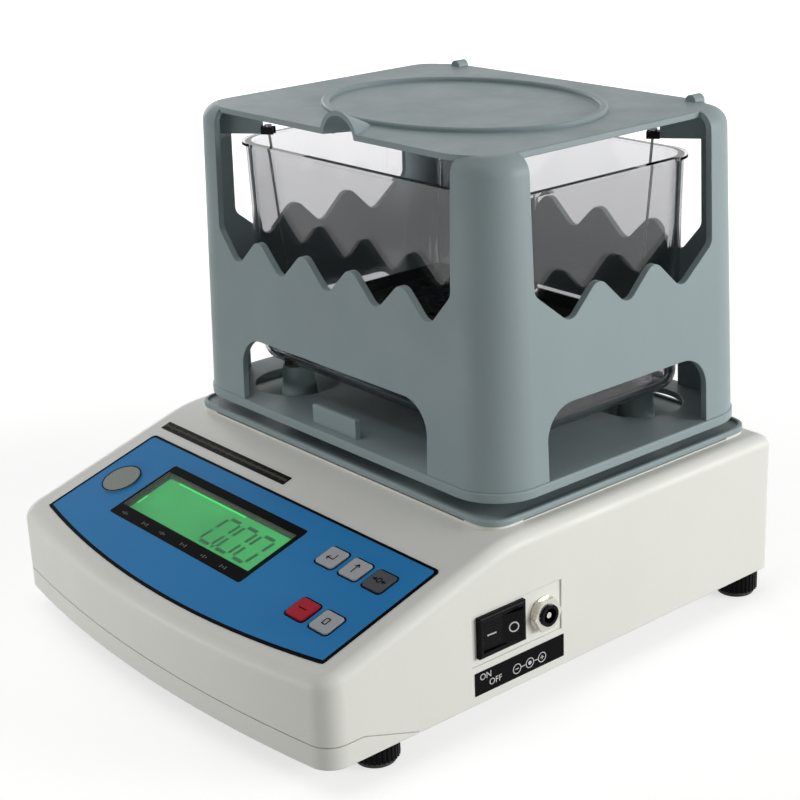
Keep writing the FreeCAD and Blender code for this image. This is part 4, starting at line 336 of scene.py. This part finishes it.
def lit_glass(name, colour, low, high, strength):
    """Display glass lit from behind, brighter where the lamps are."""
    made, shader = new_material(name)
    unlit_share = 0.3
    cloud = noise(made, 26.0, detail=2.0, stretch=(1.0, 1.6, 1.0))
    cells = noise(made, 1700.0, detail=1.0)
    level = spread(made, cloud, 0.0, 1.0, start=0.3, end=0.7)
    glow = blend_shades(made, level, colour, low, high)
    grained = blend_colours(made, spread(made, cells, 0.0, 0.25), glow, shade(colour, low))
    connect(made, grained, shader.inputs["Emission Color"])
    unlit = blend_shades(made, level, colour, low * unlit_share, high * unlit_share)
    connect(made, unlit, shader.inputs["Base Color"])
    shader.inputs["Emission Strength"].default_value = strength
    shader.inputs["Specular IOR Level"].default_value = 0.03
    connect(made, spread(made, cells, 0.15, 0.3), shader.inputs["Roughness"])
    return made


def film(name, colour, gloss, mottle=0.04, sheen_level=0.04):
    """Printed film over a satin back: a fine even tooth and faint wipe marks."""
    made, shader = new_material(name)
    tooth = noise(made, 3200.0, detail=2.0)
    wipe = noise(made, 40.0, detail=5.0, roughness=0.6, stretch=(0.4, 1.0, 1.0))
    base = blend_shades(made, spread(made, wipe, 0.0, 1.0), colour, 1.0 - mottle, 1.0 + mottle)
    printed = blend_colours(made, spread(made, tooth, 0.0, 0.3), base, shade(colour, 1.0 - 2 * mottle))
    connect(made, printed, shader.inputs["Base Color"])
    connect(made, spread(made, wipe, gloss - 0.04, gloss + 0.1), shader.inputs["Roughness"])
    shader.inputs["Specular IOR Level"].default_value = sheen_level
    add_bump(made, shader, tooth, 0.3, 0.012 * MM)
    return made


def metal(name, colour, rough, stretch, grain, depth):
    """Metal with drawn or turned marks along one direction and a few dull patches."""
    made, shader = new_material(name)
    marks = noise(made, grain, roughness=0.6, stretch=stretch)
    patch = noise(made, 45.0, detail=4.0, roughness=0.6)
    dull = blend_shades(made, spread(made, patch, 0.0, 1.0), colour, 0.86, 1.04)
    drawn = blend_colours(made, spread(made, marks, 0.0, 0.4), dull, shade(colour, 0.8))
    connect(made, drawn, shader.inputs["Base Color"])
    shader.inputs["Metallic"].default_value = 1.0
    connect(made, spread(made, marks, rough, rough + 0.18), shader.inputs["Roughness"])
    add_bump(made, shader, marks, 0.4, depth, 0.15 * MM)
    return made


def rubber():
    """Black rubber with dust in its fine tooth."""
    made, shader = new_material("black_rubber")
    dust = noise(made, 240.0, detail=4.0, roughness=0.65)
    tooth = noise(made, 2600.0, detail=2.0)
    dusty = blend_colours(made, spread(made, dust, 0.0, 0.7), from_srgb(34, 32, 31), from_srgb(66, 63, 60))
    connect(made, dusty, shader.inputs["Base Color"])
    connect(made, spread(made, tooth, 0.6, 0.85), shader.inputs["Roughness"])
    add_bump(made, shader, tooth, 0.5, 0.05 * MM)
    return made


def circuit_board():
    """Green solder mask over copper that shows as a fine square pattern."""
    made, shader = new_material("circuit_board")
    cells = node(made, "TexVoronoi", Vector=object_place(made), Scale=420.0)
    cells.distance = "CHEBYCHEV"
    copper = spread(made, cells.outputs["Distance"], 0.0, 1.0, start=0.25, end=0.3)
    mask = blend_colours(made, copper, from_srgb(28, 96, 52), from_srgb(16, 70, 38))
    connect(made, mask, shader.inputs["Base Color"])
    connect(made, spread(made, noise(made, 300.0), 0.25, 0.4), shader.inputs["Roughness"])
    add_bump(made, shader, copper, 0.3, 0.03 * MM)
    return made


def badge_foil():
    """Silver-grey sticker with a fine slanting hatch."""
    made, shader = new_material("badge")
    hatch = node(made, "TexWave", Vector=object_place(made), Scale=260.0, Distortion=1.5)
    hatch.bands_direction = "DIAGONAL"
    share = spread(made, hatch.outputs[1], 0.0, 0.35, start=0.0, end=1.0)
    hatched = blend_shades(made, share, from_srgb(128, 134, 127), 1.0, 0.82)
    connect(made, hatched, shader.inputs["Base Color"])
    shader.inputs["Metallic"].default_value = 0.1
    shader.inputs["Specular IOR Level"].default_value = 0.1
    connect(made, spread(made, noise(made, 500.0), 0.32, 0.46), shader.inputs["Roughness"])
    add_bump(made, shader, hatch.outputs[1], 0.3, 0.01 * MM)
    return made


IVORY = from_srgb(229, 229, 222)
GREY = from_srgb(143, 157, 159)
BLACK = from_srgb(14, 14, 15)
BLUE = from_srgb(48, 133, 196)
GREEN = from_srgb(72, 200, 112)
BRIGHT_GREEN = from_srgb(70, 238, 118)

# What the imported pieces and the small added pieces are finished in, by name
MATERIALS = {
    "ivory_plastic": plastic("ivory_plastic", IVORY, 0.36, 0.5 * MM, 0.025 * MM, mottle=0.02),
    "grey_plastic": plastic("grey_plastic", GREY, 0.42, 0.4 * MM, 0.02 * MM, mottle=0.035),
    "black_plastic": plastic(
        "black_plastic", BLACK, 0.3, 0.35 * MM, 0.02 * MM,
        edge=0.5, edge_radius=0.3 * MM, mottle=0.12, sheen_level=0.07,
    ),
    "black_rubber": rubber(),
    "clear_plastic": clear_plastic(),
    "blue_film": film("blue_film", BLUE, 0.38),
    "window_plastic": smoked_window(),
    "display_glass": lit_glass("display_glass", GREEN, 0.62, 0.92, 0.75),
    "backlight": lit_glass("backlight", GREEN, 0.8, 1.2, 1.2),
    # Painted shade round the display, tinted with painted green light from the glass
    "painted_shade_lining": film("painted_shade_lining", from_srgb(88, 104, 86), 0.5),
    "glow_line": lit_glass("glow_line", BRIGHT_GREEN, 0.9, 1.05, 0.95),
    "circuit_board": circuit_board(),
    "key_light_grey": film("key_light_grey", from_srgb(176, 179, 182), 0.4),
    "key_dark_grey": film("key_dark_grey", from_srgb(88, 89, 92), 0.4),
    "key_red": film("key_red", from_srgb(182, 40, 56), 0.38),
    "badge": badge_foil(),
    "black_film": film("black_film", from_srgb(20, 19, 20), 0.3, mottle=0.1, sheen_level=0.02),
    "aluminium": metal("aluminium", from_srgb(208, 210, 212), 0.28, (0.1, 1.0, 1.0), 900.0, 0.01 * MM),
    "steel": metal("steel", from_srgb(128, 129, 128), 0.26, (1.0, 1.0, 0.15), 1100.0, 0.01 * MM),
    "nickel": metal("nickel", from_srgb(212, 209, 200), 0.16, (0.2, 1.0, 1.0), 1500.0, 0.008 * MM),
    "brass": metal("brass", from_srgb(214, 176, 98), 0.25, (1.0, 1.0, 0.2), 1100.0, 0.01 * MM),
    "black_sheath": plastic(
        "black_sheath", BLACK, 0.5, 0.6 * MM, 0.03 * MM,
        edge=0.3, edge_radius=0.2 * MM, mottle=0.1, sheen_level=0.3,
    ),
    "dark_ink": film("dark_ink", from_srgb(9, 10, 12), 0.36, mottle=0.12, sheen_level=0.01),
    "pale_ink": film("pale_ink", from_srgb(205, 206, 204), 0.5),
    "display_ink": film("display_ink", from_srgb(38, 118, 68), 0.4),
    "mark_ink": film("mark_ink", from_srgb(128, 122, 108), 0.5),
}


def dress_nodes():
    """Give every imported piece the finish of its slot."""
    for row in frame["record"]["subparts"]:
        mesh = nodes[row["node"]].data
        mesh.materials.clear()
        mesh.materials.append(MATERIALS[row["material_slot"]])


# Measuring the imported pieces
def corners_of(points):
    """Lowest and highest corner of some points."""
    low = Vector([min(point[axis] for point in points) for axis in range(3)])
    high = Vector([max(point[axis] for point in points) for axis in range(3)])
    return low, high


def panel_points(name):
    """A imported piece's points, as seen square on to the sloping panel."""
    inverse = PANEL.inverted()
    return [inverse @ vertex.co for vertex in nodes[name].data.vertices]


def panel_box(name):
    return corners_of(panel_points(name))


def key_face(name):
    """Lowest and highest corner of a key's cap, without the hidden flange under it."""
    points = panel_points(name)
    top = max(point.z for point in points)
    return corners_of([point for point in points if point.z > top - KEY_CAP_DEPTH])


# Outlines
def round_outline(x, y, radius, count=40):
    turns = [2 * math.pi * index / count for index in range(count)]
    return [(x + radius * math.cos(turn), y + radius * math.sin(turn)) for turn in turns]


def rounded_outline(left, right, low, top, radius):
    """A rectangle with round corners, anticlockwise from the upper right one."""
    corners = (
        (right - radius, top - radius, 0.0), (left + radius, top - radius, 0.5),
        (left + radius, low + radius, 1.0), (right - radius, low + radius, 1.5),
    )
    points = []
    for x, y, half_turns in corners:
        for step in range(CORNER_STEPS + 1):
            turn = math.pi * (half_turns + 0.5 * step / CORNER_STEPS)
            points.append((x + radius * math.cos(turn), y + radius * math.sin(turn)))
    return points


def inset_outline(low, high, inset_x, inset_y, radius):
    """A box seen from above, drawn in by one amount along X and another along Y."""
    return rounded_outline(low.x + inset_x, high.x - inset_x, low.y + inset_y, high.y - inset_y, radius)


def bar_outline(start, end, width):
    """A straight stroke between two points."""
    (x0, y0), (x1, y1) = start, end
    length = math.hypot(x1 - x0, y1 - y0)
    side_x = (y0 - y1) / length * width / 2
    side_y = (x1 - x0) / length * width / 2
    return [(x0 + side_x, y0 + side_y), (x0 - side_x, y0 - side_y),
            (x1 - side_x, y1 - side_y), (x1 + side_x, y1 + side_y)]


def film_outline(margin):
    """The panel film's outline: three straight sides and a bowed lower one."""
    low, high = panel_box("panel_overlay")
    left = low.x + margin
    right = high.x - margin
    side_y = low.y + FILM_BOW + margin
    half = (right - left) / 2
    arc_radius = (half ** 2 + FILM_BOW ** 2) / (2 * FILM_BOW)
    centre_y = low.y + margin + arc_radius
    whole = rounded_outline(left, right, side_y, high.y - margin, FILM_CORNER - margin / 2)
    points = whole[:2 * (CORNER_STEPS + 1)]
    half_turn = math.asin(half / arc_radius)
    for step in range(BOW_STEPS + 1):
        turn = -half_turn + 2 * half_turn * step / BOW_STEPS
        points.append((arc_radius * math.sin(turn), centre_y - arc_radius * math.cos(turn)))
    return points


def aperture_outline(inset):
    """The opening in the housing under the display window, drawn in from its wall."""
    low, high = panel_box("display_window")
    return inset_outline(low, high, APERTURE_SIDE + inset, APERTURE_END + inset, APERTURE_CORNER)


# Building the small added pieces
def add_prism(shape, outline, low, high):
    """A closed block on one outline."""
    lower = [shape.verts.new((x, y, low)) for x, y in outline]
    upper = [shape.verts.new((x, y, high)) for x, y in outline]
    shape.faces.new(lower)
    shape.faces.new(upper)
    for index in range(len(outline)):
        after = (index + 1) % len(outline)
        shape.faces.new((lower[index], lower[after], upper[after], upper[index]))


def add_ring(shape, outer, inner, low, high):
    """A closed band between two outlines with the same number of points."""
    loops = []
    for outline, z in ((outer, low), (outer, high), (inner, high), (inner, low)):
        loops.append([shape.verts.new((x, y, z)) for x, y in outline])
    for first, second in zip(loops, loops[1:] + loops[:1]):
        for index in range(len(outer)):
            after = (index + 1) % len(outer)
            shape.faces.new((first[index], first[after], second[after], second[index]))


def print_patch(shape, outline, ground=0):
    """A printed patch on a flat ground."""
    add_prism(shape, outline, ground - PRINT_SINK, ground + PRINT)


def print_ring(shape, outer, inner, ground=0):
    """A printed band on a flat ground."""
    add_ring(shape, outer, inner, ground - PRINT_SINK, ground + PRINT)


def add_piece(name, shape, place, finish, body):
    """The shape as a piece of its own, on the body that it moves with."""
    mesh = bpy.data.meshes.new(name)
    bmesh.ops.recalc_face_normals(shape, faces=shape.faces)
    shape.to_mesh(mesh)
    shape.free()
    mesh.transform(place)
    mesh.materials.append(MATERIALS[finish])
    piece = bpy.data.objects.new(name, mesh)
    bpy.context.scene.collection.objects.link(piece)
    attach(piece, body)
    return piece


# Panel
def film_border():
    """The dark line round the panel film, wrapped over the film's edge."""
    _, high = panel_box("panel_overlay")
    shape = bmesh.new()
    add_ring(shape, film_outline(-FILM_WRAP), film_outline(FILM_LINE),
             high.z - FILM_EDGE_DEPTH, high.z + PRINT)
    add_piece("film_border", shape, PANEL, "dark_ink", "base")


def window_print():
    """The black print on the pane, open over the display."""
    low, high = panel_box("display_window")
    outer = inset_outline(low, high, WINDOW_EDGE, WINDOW_EDGE, WINDOW_CORNER)
    inner = rounded_outline(low.x + OPENING_LEFT, high.x - OPENING_RIGHT, low.y + OPENING_LOW,
                            high.y - OPENING_TOP, OPENING_CORNER)
    shape = bmesh.new()
    print_ring(shape, outer, inner, high.z)
    add_piece("window_print", shape, PANEL, "dark_ink", "base")


def window_marks():
    """Six pale marks of three strokes each on the print under the display."""
    low, high = panel_box("display_window")
    shape = bmesh.new()
    middle_y = low.y + MARK_LEVEL
    for number, share in enumerate(MARK_PLACE_SHARES):
        middle_x = low.x + share * (high.x - low.x)
        for index in range(3):
            x = middle_x + (index - 1) * MARK_HEIGHT * MARK_STEP_SHARE
            half = MARK_HEIGHT / 2 if (index + number) % 2 else MARK_HEIGHT / 4
            stroke = bar_outline((x, middle_y - half), (x, middle_y + half), MARK_STROKE)
            add_prism(shape, stroke, high.z + PRINT / 2, high.z + 2 * PRINT)
    add_piece("window_marks", shape, PANEL, "mark_ink", "base")


def zero_strokes(x, y):
    """The six strokes of a zero on a seven-part digit, by column and half row."""
    half = DIGIT_HEIGHT / 2
    gap = DIGIT_STROKE * DIGIT_GAP_SHARE
    ends = (
        ((0, 2), (1, 2)), ((0, 0), (1, 0)), ((0, 2), (0, 1)),
        ((1, 2), (1, 1)), ((0, 1), (0, 0)), ((1, 1), (1, 0)),
    )
    outlines = []
    for pair in ends:
        points = []
        for column, row in pair:
            across = x + column * DIGIT_WIDTH + row * half * DIGIT_SLANT_SHARE
            points.append(Vector((across, y + row * half)))
        way = (points[1] - points[0]).normalized()
        outlines.append(bar_outline(points[0] + way * gap, points[1] - way * gap, DIGIT_STROKE))
    return outlines


def display_digits():
    """The reading 0.00, as dark parts of the lit glass."""
    _, high = panel_box("lcd_glass")
    shape = bmesh.new()
    for index in range(DIGIT_COUNT):
        for outline in zero_strokes(DIGITS_LEFT + index * DIGIT_PITCH, DIGITS_LOW):
            print_patch(shape, outline, high.z)
    point_x = DIGITS_LEFT + DIGIT_WIDTH + (DIGIT_PITCH - DIGIT_WIDTH) / 2
    half = DIGIT_STROKE / 2
    point = rounded_outline(point_x - half, point_x + half, DIGITS_LOW - half, DIGITS_LOW + half, half / 3)
    print_patch(shape, point, high.z)
    add_piece("display_digits", shape, PANEL, "display_ink", "base")


def display_glow():
    """The bright line along the glass's upper edge and a short one at its left end."""
    low, high = panel_box("lcd_glass")
    shape = bmesh.new()
    top = high.y - GLOW_TOP
    left = low.x + GLOW_LEFT
    right = left + GLOW_LENGTH_SHARE * (high.x - low.x)
    print_patch(shape, bar_outline((left, top), (right, top), GLOW_WIDTH), high.z)
    side = low.x + GLOW_SIDE
    foot = low.y + GLOW_SIDE_LOW
    print_patch(shape, bar_outline((side, foot), (side, foot + GLOW_SIDE_LENGTH), GLOW_WIDTH), high.z)
    add_piece("display_glow", shape, PANEL, "glow_line", "base")


def display_shade_sheet():
    """A thin dark green-grey sheet between the window and the glass, and a band of it on the window's back:
    painted shade in the gap round the display, tinted with painted green light from the glass.
    """
    low, high = panel_box("display_window")
    _, glass_high = panel_box("lcd_glass")
    wall = aperture_outline(SHADE_SHEET_GAP)
    shape = bmesh.new()
    add_ring(shape, wall, aperture_outline(SHADE_SHEET_GAP + SHADE_SHEET_WALL),
             glass_high.z + 2 * SHADE_SHEET_GAP, low.z - SHADE_SHEET_GAP)
    back_print = inset_outline(low, high, BACK_PRINT_MARGIN, BACK_PRINT_MARGIN, APERTURE_CORNER)
    add_ring(shape, back_print, wall, low.z + PRINT_SINK, low.z + PRINT)
    add_piece("display_shade_sheet", shape, PANEL, "painted_shade_lining", "base")


def key_borders():
    """The dark line printed round each key."""
    _, film_top = panel_box("panel_overlay")
    shape = bmesh.new()
    for name in KEY_STROKES:
        low, high = key_face(name)
        outer = inset_outline(low, high, -KEY_LINE_FAR, -KEY_LINE_FAR, KEY_LINE_OUTER_CORNER)
        inner = inset_outline(low, high, -KEY_LINE_NEAR, -KEY_LINE_NEAR, KEY_LINE_INNER_CORNER)
        print_ring(shape, outer, inner, film_top.z)
    add_piece("key_borders", shape, PANEL, "dark_ink", "base")


def key_symbols():
    """Generic symbols on the keys: enter, up, zero, a dash and a small square."""
    for name, strokes in KEY_STROKES.items():
        low, high = key_face(name)
        x, y, _ = (low + high) / 2
        shape = bmesh.new()
        for (start_x, start_y), (end_x, end_y) in strokes:
            start = (x + start_x * MM, y + start_y * MM)
            end = (x + end_x * MM, y + end_y * MM)
            print_patch(shape, bar_outline(start, end, KEY_STROKE), high.z)
        if name == "zero_key":
            print_ring(shape, round_outline(x, y, ZERO_RING_OUTER),
                       round_outline(x, y, ZERO_RING_INNER), high.z)
        add_piece(name + "_symbol", shape, PANEL, "dark_ink", name)


def badge_rim():
    """The dark ring round the badge."""
    low, high = panel_box("badge_disc")
    x, y, _ = (low + high) / 2
    radius = (high.x - low.x) / 2
    shape = bmesh.new()
    print_ring(shape, round_outline(x, y, radius - BADGE_EDGE, BADGE_POINTS),
               round_outline(x, y, radius - BADGE_LINE, BADGE_POINTS), high.z)
    add_piece("badge_rim", shape, PANEL, "dark_ink", "base")


def strip_ticks():
    """A plain row of pale ticks on the narrow strip above the film."""
    low, high = panel_box("spec_strip")
    shape = bmesh.new()
    middle_y = (low.y + high.y) / 2
    for index in range(TICK_COUNT):
        x = low.x + (index + 1) * (high.x - low.x) / (TICK_COUNT + 1)
        half = TICK_SHORT if index % TICK_GROUP else TICK_LONG
        print_patch(shape, bar_outline((x, middle_y - half), (x, middle_y + half), TICK_STROKE), high.z)
    add_piece("strip_ticks", shape, PANEL, "mark_ink", "base")


# Right side
def rocker_symbols():
    """The line and the ring on the rocker's two halves."""
    low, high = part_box("rocker")
    body_low, body_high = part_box("rocker_switch_body")
    pivot = Vector((ROCKER_PIVOT_X, (body_low.y + body_high.y) / 2, (low.z + high.z) / 2))
    turn = Matrix.Translation(pivot) @ Matrix.Rotation(ROCKER_TILT, 4, "Z")
    slope = math.atan2(ROCKER_RISE - ROCKER_REST, ROCKER_HALF)
    for name, side in (("rocker_line", -1), ("rocker_ring", 1)):
        face = turn @ Matrix.Translation((ROCKER_REST, 0, 0)) @ Matrix.Rotation(-side * slope, 4, "Z") @ SIDE
        x = side * SYMBOL_PLACE
        shape = bmesh.new()
        if side < 0:
            print_patch(shape, bar_outline((x - SYMBOL_REACH, 0), (x + SYMBOL_REACH, 0), SYMBOL_STROKE))
        else:
            print_ring(shape, round_outline(x, 0, SYMBOL_REACH), round_outline(x, 0, SYMBOL_RING_INNER))
        add_piece(name, shape, face, "pale_ink", "rocker")


def letters(name, text, place, finish, body):
    """Flat raised letters, lower left corner at place's origin."""
    curve = bpy.data.curves.new(name, "FONT")
    curve.body = text
    curve.size = LETTER_HEIGHT
    curve.extrude = PRINT / 2
    holder = bpy.data.objects.new(name + "_curve", curve)
    bpy.context.scene.collection.objects.link(holder)
    bpy.context.view_layer.update()
    mesh = bpy.data.meshes.new_from_object(holder)
    bpy.data.objects.remove(holder)
    shape = bmesh.new()
    shape.from_mesh(mesh)
    bmesh.ops.remove_doubles(shape, verts=shape.verts, dist=LETTER_WELD)
    bpy.data.meshes.remove(mesh)
    add_piece(name, shape, place, finish, body)


def label_words(face, width, tall):
    """The words ON and OFF."""
    words = (("label_on", "ON", ON_PLACE_SHARES), ("label_off", "OFF", OFF_PLACE_SHARES))
    for name, text, (across, up) in words:
        place = face @ Matrix.Translation((across * width, up * tall, 0))
        letters(name, text, place, "pale_ink", "base")


def label_rings(face, width, tall):
    """Three joined rings with a minus, a dot and a plus in them."""
    shape = bmesh.new()
    y = POLE_LEVEL_SHARE * tall
    places = [share * width for share in POLE_PLACE_SHARES]
    minus, dot, plus = places
    for x in places:
        print_ring(shape, round_outline(x, y, POLE_RADIUS), round_outline(x, y, POLE_RADIUS - POLE_STROKE))
    for first, second in zip(places, places[1:]):
        print_patch(shape, bar_outline((first + POLE_RADIUS, y), (second - POLE_RADIUS, y), POLE_STROKE))
    print_patch(shape, round_outline(dot, y, POLE_SIGN, POLE_DOT_POINTS))
    for x in (minus, plus):
        print_patch(shape, bar_outline((x - POLE_SIGN, y), (x + POLE_SIGN, y), POLE_STROKE))
    for side in (-1, 1):
        near = (plus, y + side * POLE_STROKE / 2)
        print_patch(shape, bar_outline(near, (plus, y + side * POLE_SIGN), POLE_STROKE))
    add_piece("label_rings", shape, face, "pale_ink", "base")


def side_label_print():
    """ON and OFF, and the three joined polarity rings, on the side label."""
    low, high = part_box("side_label")
    face = Matrix.Translation((high.x, low.y, low.z)) @ SIDE
    width = high.y - low.y
    tall = high.z - low.z
    label_words(face, width, tall)
    label_rings(face, width, tall)


# Studio
def white_stage():
    """A white floor that keeps the object's shadow."""
    made, shader = new_material("stage_white")
    white = from_srgb(196, 196, 195)
    grain = noise(made, 8.0)
    connect(made, blend_shades(made, spread(made, grain, 0.0, 1.0), white, 1.0, 0.995),
            shader.inputs["Base Color"])
    shader.inputs["Roughness"].default_value = 0.9
    shader.inputs["Specular IOR Level"].default_value = 0.1
    ray = node(made, "LightPath")
    seen = calculate(made, "MAXIMUM", ray.outputs["Is Camera Ray"], ray.outputs["Is Glossy Ray"])
    seen = calculate(made, "MAXIMUM", seen, ray.outputs["Is Transmission Ray"])
    distance = node(made, "VectorMath", Vector=object_place(made))
    distance.operation = "LENGTH"
    glow = spread(made, distance.outputs["Value"], FLOOR_GLOW_NEAR, FLOOR_GLOW_FAR,
                  start=FLOOR_NEAR, end=FLOOR_FAR)
    shader.inputs["Emission Color"].default_value = (1, 1, 1, 1)
    connect(made, calculate(made, "MULTIPLY", seen, glow), shader.inputs["Emission Strength"])
    bpy.ops.mesh.primitive_grid_add(
        x_subdivisions=FLOOR_CELLS, y_subdivisions=FLOOR_CELLS, size=FLOOR_SIZE, location=(0, 0, 0))
    floor = bpy.context.object
    floor.name = "floor"
    floor.data.materials.append(made)


def white_world():
    """A world that is white where it is seen and dimmer as a light."""
    world = bpy.data.worlds.new("studio")
    bpy.context.scene.world = world
    world.use_nodes = True
    tree = world.node_tree
    background = tree.nodes["Background"]
    background.inputs["Color"].default_value = (1, 1, 1, 1)
    ray = tree.nodes.new("ShaderNodeLightPath")
    seen = ray.outputs["Is Camera Ray"]
    for name in ("Is Glossy Ray", "Is Transmission Ray"):
        most = tree.nodes.new("ShaderNodeMath")
        most.operation = "MAXIMUM"
        tree.links.new(seen, most.inputs[0])
        tree.links.new(ray.outputs[name], most.inputs[1])
        seen = most.outputs[0]
    level = tree.nodes.new("ShaderNodeMapRange")
    tree.links.new(seen, level.inputs["Value"])
    level.inputs["To Min"].default_value = WORLD_LEVEL
    level.inputs["To Max"].default_value = 1.0
    tree.links.new(level.outputs[0], background.inputs["Strength"])


def softbox(name, place, target, size, power):
    """A flat lamp that faces its target."""
    lamp = bpy.data.lights.new(name, "AREA")
    lamp.shape = "RECTANGLE"
    lamp.size, lamp.size_y = size
    lamp.energy = power
    holder = bpy.data.objects.new(name, lamp)
    bpy.context.scene.collection.objects.link(holder)
    way = Vector(target) - Vector(place)
    holder.location = place
    holder.rotation_euler = way.to_track_quat("-Z", "Y").to_euler()


def add_camera():
    """The camera of the photograph: its right, down and forward directions, then its lens."""
    cos_yaw, sin_yaw = math.cos(CAMERA_YAW), math.sin(CAMERA_YAW)
    cos_pitch, sin_pitch = math.cos(CAMERA_PITCH), math.sin(CAMERA_PITCH)
    forward = Vector((-sin_yaw * cos_pitch, cos_yaw * cos_pitch, -sin_pitch))
    level_right = Vector((cos_yaw, sin_yaw, 0))
    level_down = forward.cross(level_right)
    right = level_right * math.cos(CAMERA_ROLL) + level_down * math.sin(CAMERA_ROLL)
    down = level_down * math.cos(CAMERA_ROLL) - level_right * math.sin(CAMERA_ROLL)
    camera = bpy.data.cameras.new("camera")
    camera.lens = CAMERA_LENS
    camera.sensor_width = CAMERA_SENSOR
    camera.sensor_fit = "HORIZONTAL"
    holder = bpy.data.objects.new("camera", camera)
    bpy.context.scene.collection.objects.link(holder)
    turn = Matrix((right, -down, -forward)).transposed()
    holder.matrix_world = Matrix.Translation(CAMERA_PLACE) @ turn.to_4x4()
    bpy.context.scene.camera = holder


add_camera()
dress_nodes()
film_border()
window_print()
window_marks()
display_digits()
display_glow()
display_shade_sheet()
key_borders()
key_symbols()
badge_rim()
strip_ticks()
rocker_symbols()
side_label_print()
white_stage()
white_world()
for box_name, box_values in SOFTBOXES.items():
    softbox(box_name, **box_values)
bpy.context.scene.view_settings.view_transform = "Standard"
